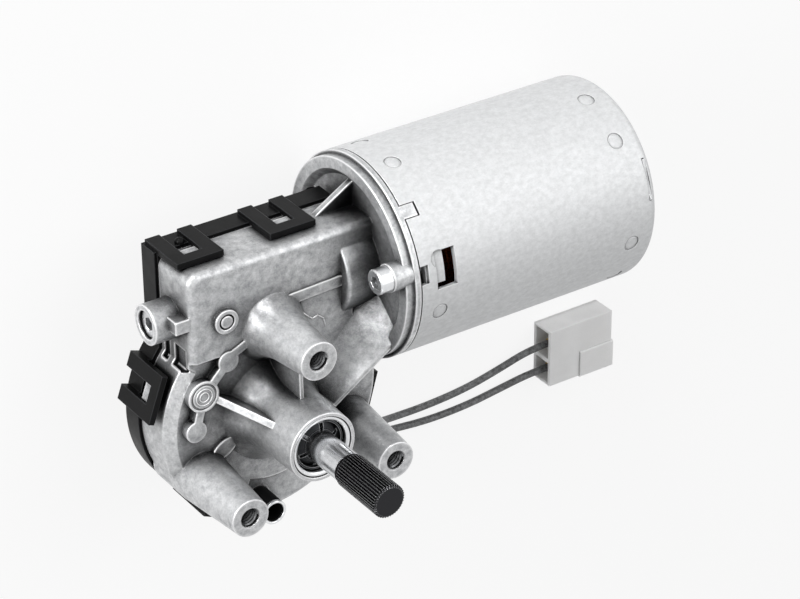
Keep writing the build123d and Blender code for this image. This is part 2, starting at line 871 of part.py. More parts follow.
# Worm wheel: toothed rim, web and ribs
tooth_root = wheel_pitch_radius - tooth_depth_factor * gear_module
flank_slope = tan(radians(pressure_angle))
gap_half = worm_pitch / 4
tilt = radians(lead_angle)
gap_plane = Plane(origin=(0, 0, motor_z), x_dir=(cos(tilt), 0, sin(tilt)), z_dir=(-sin(tilt), 0, cos(tilt)))
with BuildPart() as worm_wheel:
    with BuildSketch(Plane.XZ):
        with BuildLine():
            Polyline(
                (wheel_hub_radius, wheel_bottom),
                (wheel_hub_radius + wheel_rim, wheel_bottom),
                (wheel_hub_radius + wheel_rim, motor_z - wheel_web / 2),
                (tooth_root - wheel_rim, motor_z - wheel_web / 2),
                (tooth_root - wheel_rim, wheel_bottom),
                (tooth_tip, wheel_bottom),
                (tooth_tip, wheel_bottom + wheel_width),
                (tooth_root - wheel_rim, wheel_bottom + wheel_width),
                (tooth_root - wheel_rim, motor_z + wheel_web / 2),
                (wheel_hub_radius + wheel_rim, motor_z + wheel_web / 2),
                (wheel_hub_radius + wheel_rim, wheel_bottom + wheel_width),
                (wheel_hub_radius, wheel_bottom + wheel_width),
                close=True,
            )
        make_face()
    revolve(axis=Axis.Z)
    with BuildSketch(Plane.XY.offset(wheel_bottom)):
        with PolarLocations(0, wheel_ribs):
            with Locations((wheel_hub_radius + wheel_rim / 2, 0)):
                Rectangle(
                    tooth_root - wheel_hub_radius - wheel_rim,
                    wheel_rib_width,
                    align=(Align.MIN, Align.CENTER),
                )
    extrude(amount=wheel_width)
    with BuildPart(mode=Mode.PRIVATE) as tooth_gap:
        with BuildSketch(gap_plane):
            with BuildLine():
                root_half = gap_half - (wheel_pitch_radius - tooth_root) * flank_slope
                mouth_half = gap_half + 2 * gear_module * flank_slope
                Polyline(
                    (-root_half, tooth_root),
                    (root_half, tooth_root),
                    (mouth_half, wheel_pitch_radius + 2 * gear_module),
                    (-mouth_half, wheel_pitch_radius + 2 * gear_module),
                    close=True,
                )
            make_face()
        extrude(amount=wheel_width, both=True)
    with PolarLocations(0, wheel_teeth):
        add(tooth_gap.part, mode=Mode.SUBTRACT)
worm_wheel.part.label = "worm_wheel"
export_step(worm_wheel.part, "parts/worm_wheel.step")

# Armature shaft with its rolled worm
worm_root = worm_pitch_radius - tooth_depth_factor * gear_module
worm_tip = worm_pitch_radius + gear_module
worm_length = worm_turns * worm_pitch
thread_start_x = (3 / 4 - ceil(worm_turns / 2)) * worm_pitch
thread_half = worm_pitch / 4 - flank_play / 2
thrust_pad_start = thrust_boss_face + thrust_screw_sink + thrust_screw_length
shaft_left = thrust_pad_start + thrust_pad_length + fit_gap
cap_x = can_end - can_wall - end_cap_wall
end_cup_x = cap_x + cup_depth
with BuildPart() as armature_shaft:
    with BuildSketch(motor_plane.offset(shaft_left)):
        Circle(journal_radius)
    extrude(amount=end_cup_x - fit_gap - shaft_left)
    with BuildSketch(motor_plane.offset(-worm_length / 2 - worm_pitch)):
        Circle(worm_root)
    extrude(amount=worm_length + 2 * worm_pitch)
    with BuildLine():
        thread_path = Helix(
            worm_pitch,
            worm_length,
            worm_root,
            center=(thread_start_x, centre_distance, motor_z),
            direction=(1, 0, 0),
        )
    thread_start = thread_path @ 0
    thread_out = thread_start - Vector(thread_start_x, centre_distance, motor_z)
    thread_plane = Plane(origin=thread_start, x_dir=thread_out, z_dir=thread_path % 0)
    with BuildSketch(thread_plane):
        with BuildLine():
            Polyline(
                (-thread_sink, thread_half + (worm_pitch_radius - worm_root + thread_sink) * flank_slope),
                (worm_tip - worm_root, thread_half - gear_module * flank_slope),
                (worm_tip - worm_root, -thread_half + gear_module * flank_slope),
                (-thread_sink, -thread_half - (worm_pitch_radius - worm_root + thread_sink) * flank_slope),
                close=True,
            )
        make_face()
    sweep(path=thread_path, is_frenet=True)
armature_shaft.part.label = "armature_shaft"
export_step(armature_shaft.part, "parts/armature_shaft.step")

# Sintered bushes, thrust pad and thrust screw on the motor's axis
bush_places = (
    ("worm_bush", worm_bush_start, worm_bush_length, worm_bush_radius),
    ("armature_bush", bush_pocket_start, flange_face - bush_pocket_start, armature_bush_radius),
    ("end_cap_bush", end_cup_x - fit_gap - rear_bush_length, rear_bush_length, rear_bush_radius),
)
for label, start, length, radius in bush_places:
    with BuildPart() as journal_bush:
        with BuildSketch(motor_plane.offset(start)):
            Circle(radius)
            Circle(journal_radius + running_clearance, mode=Mode.SUBTRACT)
        extrude(amount=length)
    journal_bush.part.label = label
    export_step(journal_bush.part, f"parts/{label}.step")

with BuildPart() as thrust_pad:
    with BuildSketch(motor_plane.offset(thrust_pad_start)):
        Circle(thrust_pad_radius)
    extrude(amount=thrust_pad_length)
    chamfer(thrust_pad.edges().group_by(Axis.X)[-1], bush_chamfer)
thrust_pad.part.label = "thrust_pad"
export_step(thrust_pad.part, "parts/thrust_pad.step")

with BuildPart() as thrust_screw:
    with BuildSketch(motor_plane.offset(thrust_boss_face + thrust_screw_sink)):
        Circle(thrust_screw_radius)
    extrude(amount=thrust_screw_length)
    chamfer(thrust_screw.edges().group_by(Axis.X)[0], bush_chamfer)
    with BuildSketch(motor_plane.offset(thrust_boss_face + thrust_screw_sink)):
        RegularPolygon(screw_socket_radius, 6)
    extrude(amount=screw_socket_depth, mode=Mode.SUBTRACT)
thrust_screw.part.label = "thrust_screw"
export_step(thrust_screw.part, "parts/thrust_screw.step")

# Armature: slotted core, winding and commutator
core_radius = can_inner - magnet_thickness - air_gap
slot_outer = core_radius - core_slot_lip
with BuildPart() as armature_core:
    with BuildSketch(motor_plane.offset(core_start)):
        Circle(core_radius)
        Circle(journal_radius, mode=Mode.SUBTRACT)
        with PolarLocations(0, core_slots):
            with Locations((slot_outer - core_slot_depth / 2, 0)):
                Rectangle(core_slot_depth, core_slot_width, mode=Mode.SUBTRACT)
            with Locations((core_radius, 0)):
                Rectangle(2 * core_slot_lip + fit_gap, core_slot_width / 2, mode=Mode.SUBTRACT)
    extrude(amount=core_length)
armature_core.part.label = "armature_core"
export_step(armature_core.part, "parts/armature_core.step")

with BuildPart() as armature_winding:
    with BuildSketch(motor_plane.offset(core_start - fit_gap)):
        with PolarLocations(0, core_slots):
            with Locations((slot_outer - core_slot_depth / 2, 0)):
                Rectangle(core_slot_depth - 2 * fit_gap, core_slot_width - 2 * fit_gap)
    extrude(amount=core_length + 2 * fit_gap)
    for start, side in ((core_start, -1), (core_start + core_length, 1)):
        with BuildSketch(motor_plane.offset(start)):
            Circle(slot_outer)
            Circle(slot_outer - core_slot_depth, mode=Mode.SUBTRACT)
        extrude(amount=side * winding_overhang)
    rounded = armature_winding.edges().filter_by(GeomType.CIRCLE)
    fillet([rounded.group_by(Axis.X)[0][-1], rounded.group_by(Axis.X)[-1][-1]], winding_round)
armature_winding.part.label = "armature_winding"
export_step(armature_winding.part, "parts/armature_winding.step")

with BuildPart() as commutator:
    with BuildSketch(motor_plane.offset(commutator_start)):
        Circle(commutator_radius)
    extrude(amount=commutator_length)
    with BuildSketch(motor_plane.offset(commutator_start + commutator_length - commutator_riser)):
        Circle(commutator_radius + commutator_riser)
    extrude(amount=commutator_riser)
    with BuildSketch(motor_plane.offset(commutator_start)):
        with PolarLocations(0, commutator_bars):
            with Locations((commutator_radius + commutator_riser, 0)):
                Rectangle(3 * commutator_riser, commutator_slit)
    extrude(amount=commutator_length, mode=Mode.SUBTRACT)
    with BuildSketch(motor_plane.offset(commutator_start)):
        Circle(journal_radius)
    extrude(amount=commutator_length, mode=Mode.SUBTRACT)
commutator.part.label = "commutator"
export_step(commutator.part, "parts/commutator.step")

# Motor can: drawn tube with a rolled lip, stakes, notches, window and slots
wall_cut = 3 * can_wall
with BuildPart() as motor_can:
    with BuildSketch(motor_profile):
        with BuildLine():
            wall = Line((can_start, can_radius), (can_end - can_lip, can_radius))
            roll = RadiusArc(wall @ 1, (can_end, can_radius - can_lip), can_lip)
            Polyline(
                roll @ 1,
                (can_end, can_lip_inner),
                (can_end - can_wall, can_lip_inner),
                (can_end - can_wall, can_inner),
                (can_start, can_inner),
                wall @ 0,
            )
        make_face()
    revolve(axis=motor_axis)
    for x, angles in ((stake_near_x, stake_near_angles), (stake_far_x, stake_far_angles)):
        for quarter in range(4):
            for angle in angles:
                with BuildSketch(motor_at(x, can_radius - stake_depth, angle + 90 * quarter)):
                    Circle(stake_radius)
                extrude(amount=stake_radius, mode=Mode.SUBTRACT)
    for angle in (notch_1_angle, notch_1_angle + 180):
        with BuildSketch(motor_at(can_start, can_inner - can_wall, angle)):
            Rectangle(notch_1_length, notch_1_width, align=(Align.MIN, Align.CENTER))
        extrude(amount=wall_cut, mode=Mode.SUBTRACT)
    for angle in (notch_2_angle, notch_2_angle + 180):
        with BuildSketch(motor_at(can_start, can_inner - can_wall, angle)):
            Rectangle(notch_2_length, notch_2_width, align=(Align.MIN, Align.CENTER))
        extrude(amount=wall_cut, mode=Mode.SUBTRACT)
    with BuildSketch(motor_at(window_start, can_inner - can_wall, window_angle)):
        Rectangle(window_length, window_width, align=(Align.MIN, Align.CENTER))
    extrude(amount=wall_cut, mode=Mode.SUBTRACT)
    for turn in range(slot_count):
        with BuildSketch(motor_at(slot_x, can_inner - can_wall / 2, slot_angle + 360 / slot_count * turn)):
            Rectangle(slot_length, slot_width, align=(Align.MIN, Align.CENTER))
        extrude(amount=wall_cut, mode=Mode.SUBTRACT)
    with BuildSketch(motor_plane.offset(flange_face + brush_plate_thickness + fit_gap)):
        with PolarLocations(can_inner, flange_screw_count, start_angle=flange_screw_angle):
            Rectangle(2 * (can_inner - flange_screw_circle + 2 * flange_screw_radius), screw_lug_width)
        Circle(can_inner + can_wall / 2, mode=Mode.INTERSECT)
        with PolarLocations(flange_screw_circle, flange_screw_count, start_angle=flange_screw_angle):
            Circle(flange_screw_radius, mode=Mode.SUBTRACT)
    extrude(amount=screw_lug_length)
motor_can.part.label = "motor_can"
export_step(motor_can.part, "parts/motor_can.step")

with BuildPart() as can_gasket:
    with BuildSketch(motor_plane.offset(flange_face)):
        Circle(can_radius - gasket_inset)
        Circle(can_radius - gasket_inset - gasket_width, mode=Mode.SUBTRACT)
        for angle in (notch_1_angle, notch_1_angle + 180):
            with Locations(Location((*polar(can_radius, angle), 0), angle)):
                Rectangle(2 * (can_wall + fit_gap), notch_1_width + 2 * fit_gap, mode=Mode.SUBTRACT)
        with PolarLocations(flange_screw_circle, flange_screw_count, start_angle=flange_screw_angle):
            Circle(flange_screw_radius + fit_gap, mode=Mode.SUBTRACT)
    extrude(amount=gasket_thickness)
can_gasket.part.label = "can_gasket"
export_step(can_gasket.part, "parts/can_gasket.step")

# End cap with its bush cup, and the star clip that holds the bush
with BuildPart() as end_cap:
    with BuildSketch(motor_profile):
        with BuildLine():
            Polyline(
                (cap_x, rear_bush_radius),
                (end_cup_x, rear_bush_radius),
                (end_cup_x, 0),
                (end_cup_x + end_cap_wall, 0),
                (end_cup_x + end_cap_wall, cup_radius - bush_chamfer),
                (end_cup_x + end_cap_wall - bush_chamfer, cup_radius),
                (cap_x + end_cap_wall, cup_radius),
                (cap_x + end_cap_wall, can_inner),
                (cap_x, can_inner),
                close=True,
            )
        make_face()
    revolve(axis=motor_axis)
    for turn in range(slot_count):
        with BuildSketch(motor_at(slot_x, can_inner - can_wall, slot_angle + 360 / slot_count * turn)):
            with Locations((fit_gap / 2, 0)):
                Rectangle(slot_length - fit_gap, slot_width - 2 * fit_gap, align=(Align.MIN, Align.CENTER))
        extrude(amount=2 * can_wall - cap_lug_sink)
end_cap.part.label = "end_cap"
export_step(end_cap.part, "parts/end_cap.step")

with BuildPart() as bush_clip:
    with BuildSketch(motor_plane.offset(cap_x - clip_thickness)):
        Circle(bush_clip_radius)
        Circle(journal_radius + 2 * fit_gap, mode=Mode.SUBTRACT)
        with PolarLocations(journal_radius, claw_slots):
            Rectangle(2 * journal_radius, clip_thickness, mode=Mode.SUBTRACT)
    extrude(amount=clip_thickness)
bush_clip.part.label = "bush_clip"
export_step(bush_clip.part, "parts/bush_clip.step")

# Magnets and the spring clips between them
magnet_inner = can_inner - magnet_thickness
magnet_half = magnet_span / 2
for n in range(magnet_count):
    middle = magnet_first_angle + 360 / magnet_count * n
    with BuildPart() as magnet:
        with BuildSketch(motor_plane.offset(magnet_start)):
            with BuildLine():
                outer_arc = CenterArc((0, 0), can_inner, middle - magnet_half, magnet_span)
                inner_arc = CenterArc((0, 0), magnet_inner, middle - magnet_half, magnet_span)
                Line(outer_arc @ 0, inner_arc @ 0)
                Line(outer_arc @ 1, inner_arc @ 1)
            make_face()
        extrude(amount=magnet_length)
    magnet.part.label = f"magnet_{n + 1}"
    export_step(magnet.part, f"parts/magnet_{n + 1}.step")

gap_span = 360 / magnet_count - magnet_span
with BuildPart() as magnet_clips:
    for n in range(magnet_count):
        start = magnet_first_angle + magnet_half + 360 / magnet_count * n + clip_play
        span = gap_span - 2 * clip_play
        with BuildSketch(motor_plane.offset(magnet_start + magnet_clip_inset)):
            with BuildLine():
                outer_arc = CenterArc((0, 0), can_inner, start, span)
                inner_arc = CenterArc((0, 0), magnet_inner, start, span)
                Line(outer_arc @ 0, inner_arc @ 0)
                Line(outer_arc @ 1, inner_arc @ 1)
            make_face()
            with BuildLine():
                hollow = (start + clip_leg_turn, span - 2 * clip_leg_turn)
                outer_arc = CenterArc((0, 0), can_inner - clip_thickness, *hollow)
                inner_arc = CenterArc((0, 0), magnet_inner - clip_thickness, *hollow)
                Line(outer_arc @ 0, inner_arc @ 0)
                Line(outer_arc @ 1, inner_arc @ 1)
            make_face(mode=Mode.SUBTRACT)
        extrude(amount=magnet_length - 2 * magnet_clip_inset)
magnet_clips.part.label = "magnet_clips"
export_step(magnet_clips.part, "parts/magnet_clips.step")

# Screws that clamp the can to the flange
with BuildPart() as flange_screws:
    with BuildSketch(motor_plane.offset(flange_ear_front - flange_screw_head)):
        with PolarLocations(flange_screw_circle, flange_screw_count, start_angle=flange_screw_angle):
            Circle(flange_screw_head_radius)
    extrude(amount=flange_screw_head)
    chamfer(flange_screws.edges().group_by(Axis.X)[0], bush_chamfer)
    with BuildSketch(motor_plane.offset(flange_ear_front)):
        with PolarLocations(flange_screw_circle, flange_screw_count, start_angle=flange_screw_angle):
            Circle(flange_screw_radius)
    extrude(amount=flange_screw_length)
    with BuildSketch(motor_plane.offset(flange_ear_front - flange_screw_head)):
        with PolarLocations(flange_screw_circle, flange_screw_count, start_angle=flange_screw_angle):
            RegularPolygon(flange_socket_radius, 6)
    extrude(amount=flange_socket_depth, mode=Mode.SUBTRACT)
flange_screws.part.label = "flange_screws"
export_step(flange_screws.part, "parts/flange_screws.step")

# Brush plate against the flange, with its boxes, brushes, springs and chokes
plate_x = flange_face + brush_plate_thickness
with BuildPart() as brush_plate:
    with BuildSketch(motor_plane.offset(flange_face)):
        Circle(can_radius - gasket_inset - gasket_width - fit_gap)
        Circle(brush_plate_bore, mode=Mode.SUBTRACT)
        with PolarLocations(flange_screw_circle, flange_screw_count, start_angle=flange_screw_angle):
            Circle(flange_screw_radius + fit_gap, mode=Mode.SUBTRACT)
    extrude(amount=brush_plate_thickness)
brush_plate.part.label = "brush_plate"
export_step(brush_plate.part, "parts/brush_plate.step")

box_width = brush_width + 2 * (brush_play + brush_box_wall)
brush_x = plate_x + brush_box_wall + brush_play + brush_height / 2
brush_tip = commutator_radius + brush_gap
for n in range(brush_count):
    angle = brush_angle + 360 / brush_count * n
    with BuildPart() as brush_box:
        with BuildSketch(motor_at(brush_x, brush_plate_bore, angle)):
            Rectangle(brush_height + 2 * (brush_play + brush_box_wall), box_width)
        extrude(amount=brush_box_length)
        with BuildSketch(motor_at(brush_x, brush_plate_bore, angle)):
            Rectangle(brush_height + 2 * brush_play, brush_width + 2 * brush_play)
        extrude(amount=brush_box_length - brush_box_wall, mode=Mode.SUBTRACT)
    brush_box.part.label = f"brush_box_{n + 1}"
    export_step(brush_box.part, f"parts/brush_box_{n + 1}.step")

    with BuildPart() as brush:
        with BuildSketch(motor_at(brush_x, brush_tip, angle)):
            Rectangle(brush_height, brush_width)
        extrude(amount=brush_length)
    brush.part.label = f"brush_{n + 1}"
    export_step(brush.part, f"parts/brush_{n + 1}.step")

    spring_start = brush_tip + brush_length + spring_play
    spring_room = brush_plate_bore + brush_box_length - brush_box_wall - spring_play - spring_start
    out = motor_at(brush_x, spring_start, angle)
    spring_profile = Plane(origin=out.origin, x_dir=out.z_dir, z_dir=out.x_dir)
    reach = brush_width / 2 - brush_play
    with BuildPart() as brush_spring:
        with BuildSketch(spring_profile):
            with BuildLine():
                Polyline(
                    (spring_thickness / 2, -reach),
                    (spring_thickness / 2, reach),
                    (spring_room / 2, -reach),
                    (spring_room - spring_thickness / 2, reach),
                    (spring_room - spring_thickness / 2, -reach),
                )
                offset(amount=spring_thickness / 2)
            make_face()
        extrude(amount=spring_width / 2, both=True)
    brush_spring.part.label = f"brush_spring_{n + 1}"
    export_step(brush_spring.part, f"parts/brush_spring_{n + 1}.step")

    choke_plane = motor_at(plate_x + choke_radius, choke_circle, angle + choke_turn)
    with BuildPart() as choke:
        with BuildSketch(choke_plane):
            Circle(choke_core_radius)
        extrude(amount=choke_length)
        with BuildSketch(choke_plane.offset(choke_core_radius)):
            Circle(choke_radius)
        extrude(amount=choke_length - 2 * choke_core_radius)
    choke.part.label = f"choke_{n + 1}"
    export_step(choke.part, f"parts/choke_{n + 1}.step")

# Rear cover: a shallow tray with the gearbox's outline and five snap clips
flange_room = can_radius + cover_clearance
with BuildPart() as cover_hollow:
    with BuildSketch(Plane.XY.offset(cover_bottom + cover_floor)):
        outline(cover_overhang - cover_wall)
    extrude(amount=cover_depth)
    with BuildSketch(motor_plane.offset(flange_front - cover_clearance - cover_wall)):
        Circle(flange_room + cover_wall)
    extrude(amount=2 * cover_depth, mode=Mode.SUBTRACT)

clip_root = cover_overhang + cover_wall / 2
with BuildPart() as gear_cover:
    with BuildSketch(Plane.XY.offset(cover_bottom)):
        outline(cover_overhang)
    extrude(amount=cover_depth)
    with BuildSketch(motor_plane.offset(flange_front - cover_clearance)):
        Circle(flange_room)
    extrude(amount=2 * cover_depth, mode=Mode.SUBTRACT)
    chamfer(gear_cover.faces().sort_by(Axis.Z)[0].outer_wire().edges(), cover_chamfer)
    add(cover_hollow.part, mode=Mode.SUBTRACT)
    with BuildSketch(Plane.XY.offset(cover_bottom + cover_floor)):
        Circle(thrust_seat_radius)
    extrude(amount=thrust_seat_height)
    with BuildSketch(Plane.XY.offset(cover_bottom)):
        with PolarLocations(hub_radius - cover_rib_width / 2, cover_rib_count):
            Rectangle(
                bowl_radius - hub_radius - cover_wall,
                cover_rib_width,
                align=(Align.MIN, Align.CENTER),
            )
        Circle(hub_radius)
        Circle(hub_radius - cover_rib_width, mode=Mode.SUBTRACT)
    extrude(amount=-cover_rib_height)
    for seat, stand in clip_planes():
        with BuildSketch(seat.offset(stand)):
            for width, top_z, mode in (
                (clip_width, clip_front_z, Mode.ADD),
                (clip_window, clip_front_z - clip_bar, Mode.SUBTRACT),
            ):
                with Locations((0, top_z - split_z)):
                    Rectangle(width, clip_front_z - clip_tail_z, align=(Align.CENTER, Align.MAX), mode=mode)
        extrude(amount=clip_plate)
        with BuildSketch(seat.offset(-clip_root)):
            for side in (-1, 1):
                with Locations((side * (clip_window + clip_leg) / 2, cover_top - split_z)):
                    Rectangle(clip_leg, cover_top - clip_tail_z, align=(Align.CENTER, Align.MAX))
        extrude(amount=clip_root + stand + clip_plate)
    with BuildSketch(Plane(origin=(0, 0, exit_z), z_dir=(*polar(1, exit_angle), 0))):
        Circle(grommet_radius)
    extrude(amount=exit_radius, mode=Mode.SUBTRACT)
gear_cover.part.label = "gear_cover"
export_step(gear_cover.part, "parts/gear_cover.step")

with BuildPart() as cover_seal:
    with BuildSketch(Plane.XY.offset(cover_top)):
        outline(0)
        outline(-bowl_wall, mode=Mode.SUBTRACT)
    extrude(amount=seal_thickness)
    with BuildSketch(motor_plane.offset(flange_front - cover_clearance)):
        Circle(flange_room)
    extrude(amount=2 * cover_depth, mode=Mode.SUBTRACT)
cover_seal.part.label = "cover_seal"
export_step(cover_seal.part, "parts/cover_seal.step")

# Vent tube with a metal ferrule on its end
with BuildPart() as vent_tube:
    with BuildSketch(Plane.XY.offset(ceiling_z)):
        with Locations(vent_position):
            Circle(vent_radius)
            Circle(vent_bore_radius, mode=Mode.SUBTRACT)
    extrude(amount=vent_end_z - vent_ring - ceiling_z)
vent_tube.part.label = "vent_tube"
export_step(vent_tube.part, "parts/vent_tube.step")

with BuildPart() as vent_ferrule:
    with BuildSketch(Plane.XY.offset(vent_end_z - vent_ring)):
        with Locations(vent_position):
            Circle(vent_radius)
            Circle(vent_bore_radius, mode=Mode.SUBTRACT)
    extrude(amount=vent_ring)
    chamfer(vent_ferrule.edges().group_by(Axis.Z)[-1], vent_chamfer)
vent_ferrule.part.label = "vent_ferrule"
export_step(vent_ferrule.part, "parts/vent_ferrule.step")

# Grommet in the cover's wall
exit_side = polar(1, exit_angle)
exit_plane = Plane(origin=(0, 0, exit_z), x_dir=(-exit_side[1], exit_side[0], 0), z_dir=(*exit_side, 0))
with BuildPart() as lead_grommet:
    with BuildSketch(exit_plane.offset(grommet_start)):
        Circle(grommet_radius)
    extrude(amount=grommet_seat - grommet_start)
    with BuildSketch(exit_plane.offset(grommet_seat)):
        Circle(grommet_flange_radius)
    extrude(amount=grommet_flange)
    with BuildSketch(exit_plane.offset(grommet_seat + grommet_flange)):
        SlotCenterToCenter(lead_pitch, 2 * lead_radius + 2 * grommet_skin)
    extrude(amount=exit_radius - grommet_seat - grommet_flange)
lead_grommet.part.label = "lead_grommet"
export_step(lead_grommet.part, "parts/lead_grommet.step")

# Leads: each starts at the grommet's face, drops to the ground and ends at its terminal
lead_end_x = plug_start + plug_crimp_inset
plug_mid_z = ground_z + plug_thickness / 2
rest_z = ground_z + lead_radius + ground_play
exit_points = {}
for label, side in (("lead_1", 1), ("lead_2", -1)):
    for reach in (0, exit_run):
        away = exit_plane.offset(exit_radius + reach)
        exit_points[label, reach] = tuple(away.from_local_coords((side * lead_pitch / 2, 0, 0)))
lead_routes = {
    "lead_1": [
        exit_points["lead_1", 0],
        exit_points["lead_1", exit_run],
        (56.5, -41.9, -58.6),
        (65.5, -49.9, -67.6),
        (76, -55.6, rest_z),
        (92, -56, rest_z),
        (110, -54.9, rest_z),
        (125, -51.9, rest_z),
        (lead_end_x - entry_run, plug_spots[0], plug_mid_z),
        (lead_end_x, plug_spots[0], plug_mid_z),
    ],
    "lead_2": [
        exit_points["lead_2", 0],
        exit_points["lead_2", exit_run],
        (54, -45.9, -58.9),
        (63.5, -54.3, -67.8),
        (76, -60.5, rest_z),
        (93, -62.5, rest_z),
        (111, -62.3, rest_z),
        (125, -60.6, rest_z),
        (lead_end_x - entry_run, plug_spots[1], plug_mid_z),
        (lead_end_x, plug_spots[1], plug_mid_z),
    ],
}
for label, route in lead_routes.items():
    points = [Vector(*point) for point in route]
    runs = [(points[i + 1] - points[i]).length for i in range(len(points) - 1)]
    radii = []
    for i in range(1, len(points) - 1):
        turn = (points[i] - points[i - 1]).get_angle(points[i + 1] - points[i])
        radii.append(bend_share * min(runs[i - 1], runs[i]) / tan(radians(turn / 2)))
    with BuildPart() as lead:
        with BuildLine() as lead_path:
            FilletPolyline(*points, radius=radii)
        path_wire = lead_path.wires()[0]
        with BuildSketch(Plane(origin=path_wire @ 0, z_dir=path_wire % 0)):
            Circle(lead_radius)
        sweep(path=path_wire)
    lead.part.label = label
    export_step(lead.part, f"parts/{label}.step")
    volume_ratio = lead.part.volume / (pi * lead_radius**2 * path_wire.length)
    print(label, "length", round(path_wire.length, 1), "volume ratio", round(volume_ratio, 4))
    print("  radii", [round(radius, 1) for radius in radii])

# Two-way plug of natural nylon, with an entry and a mating cavity for each way
cell_edges = ((plug_split, plug_top), (plug_bottom, plug_split))
with BuildPart() as plug_housing:
    with BuildSketch(Plane.XY.offset(ground_z)):
        with Locations((plug_start, plug_bottom)):
            Rectangle(plug_length, plug_top - plug_bottom, align=(Align.MIN, Align.MIN))
    extrude(amount=plug_thickness)
    with BuildSketch(Plane.XY.offset(ground_z)):
        with Locations((plug_start + plug_entry + plug_web, plug_bottom - plug_step)):
            Rectangle(
                plug_length - plug_entry - plug_web + plug_step,
                plug_split - plug_bottom + plug_step,
                align=(Align.MIN, Align.MIN),
            )
    extrude(amount=plug_thickness + plug_step)
    fillet(plug_housing.edges().filter_by(Axis.X).group_by(Axis.Z)[-1], plug_step)
    for low, high in cell_edges:
        middle = (low + high) / 2
        cell = high - low - 2 * plug_cell_wall
        for start, length in ((plug_start, plug_entry), (plug_start + plug_entry + plug_web, plug_length)):
            with BuildSketch(Plane.YZ.offset(start)):
                with Locations((middle, plug_mid_z)):
                    Rectangle(cell, plug_thickness - 2 * plug_wall)
            extrude(amount=length, mode=Mode.SUBTRACT)
    for spot in plug_spots:
        with BuildSketch(Plane.YZ.offset(plug_start)):
            with Locations((spot, plug_mid_z)):
                Rectangle(blade_width + 2 * blade_play, blade_thickness + 2 * blade_play)
        extrude(amount=plug_length, mode=Mode.SUBTRACT)
plug_housing.part.label = "plug_housing"
export_step(plug_housing.part, "parts/plug_housing.step")

for n, spot in enumerate(plug_spots):
    with BuildPart() as terminal:
        with BuildSketch(Plane.YZ.offset(lead_end_x)):
            with Locations((spot, plug_mid_z)):
                Circle(crimp_radius)
        extrude(amount=crimp_length)
        with BuildSketch(Plane.YZ.offset(lead_end_x + crimp_length)):
            with Locations((spot, plug_mid_z)):
                Rectangle(blade_width, blade_thickness)
        extrude(amount=blade_length)
        chamfer(terminal.edges().filter_by(Axis.Z).group_by(Axis.X)[-1], bush_chamfer)
    terminal.part.label = f"terminal_{n + 1}"
    export_step(terminal.part, f"parts/terminal_{n + 1}.step")
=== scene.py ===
"""Looks of a geared wiper motor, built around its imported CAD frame.

The frame gives every solid its place. This script dresses the solids with procedural
finishes, lays the two leads as free cords, adds the forms that are too fine for the
solids, and sets the floor, the lamps and the camera. Lengths are in metres, and a name
that ends in _mm is in millimetres.
"""

import logging
from dataclasses import dataclass
from enum import Enum
from math import atan2, cos, pi, radians, sin

import bmesh
import bpy
from mathutils import Matrix, Vector


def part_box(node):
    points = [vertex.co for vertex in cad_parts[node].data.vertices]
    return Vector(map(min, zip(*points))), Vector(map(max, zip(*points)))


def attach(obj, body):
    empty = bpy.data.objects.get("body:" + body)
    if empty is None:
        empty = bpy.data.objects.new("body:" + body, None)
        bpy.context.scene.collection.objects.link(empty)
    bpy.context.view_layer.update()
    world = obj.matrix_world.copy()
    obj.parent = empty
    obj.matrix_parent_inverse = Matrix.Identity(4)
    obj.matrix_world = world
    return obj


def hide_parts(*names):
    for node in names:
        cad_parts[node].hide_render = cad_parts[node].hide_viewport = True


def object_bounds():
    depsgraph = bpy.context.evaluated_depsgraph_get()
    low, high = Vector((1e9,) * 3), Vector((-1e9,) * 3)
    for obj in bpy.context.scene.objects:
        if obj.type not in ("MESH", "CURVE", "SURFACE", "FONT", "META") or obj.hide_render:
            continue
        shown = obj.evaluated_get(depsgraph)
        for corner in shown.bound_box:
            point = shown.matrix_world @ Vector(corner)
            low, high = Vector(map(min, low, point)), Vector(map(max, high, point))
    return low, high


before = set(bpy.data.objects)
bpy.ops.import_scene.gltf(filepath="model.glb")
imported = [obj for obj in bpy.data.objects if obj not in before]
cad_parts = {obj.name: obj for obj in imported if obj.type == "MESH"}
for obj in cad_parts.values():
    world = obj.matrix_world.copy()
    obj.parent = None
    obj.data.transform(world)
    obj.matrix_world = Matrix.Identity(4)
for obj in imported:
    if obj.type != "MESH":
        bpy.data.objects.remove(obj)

LOG = logging.getLogger("wiper_motor")
MM = 0.001
GEARBOX = "gearbox"
OUTPUT = "output"
CAD_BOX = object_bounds()
# Faces that meet at more than this angle keep a sharp edge between them.
SHARP_EDGE = radians(28)
# A noise pattern's values crowd round 0.5, so colour and roughness change between these.
COLOUR_SPAN = (0.36, 0.64)
ROUGHNESS_SPAN = (0.3, 0.7)
# How much the fine grain and the patches count in the colour.
GRAIN_SHARE = 0.35
PATCH_SHARE = 0.65
# Backing at which an outer edge's wear and painted highlight start to show, and at which they show
# in full.
EDGE_BACKING = (0.92, 0.45)
# Rays that feel for a hollow to paint its shade, and for an edge and its rounding.
PAINTED_SHADE_RAYS = 6
EDGE_RAYS = 8
# How the noise of the patches and of the grain breaks up.
PATCH_NOISE = {"Detail": 4.0, "Roughness": 0.6}
GRAIN_NOISE = {"Detail": 3.0, "Roughness": 0.65}
# Radians that a wave texture runs over one unit at a scale of one.
WAVE_RUN = 20.0
WHITE = (1.0, 1.0, 1.0, 1.0)


class Ray(Enum):
    """Kinds of ray that see the floor and the surround as plain white."""

    CAMERA = "Is Camera Ray"
    GLOSSY = "Is Glossy Ray"
    TRANSMISSION = "Is Transmission Ray"


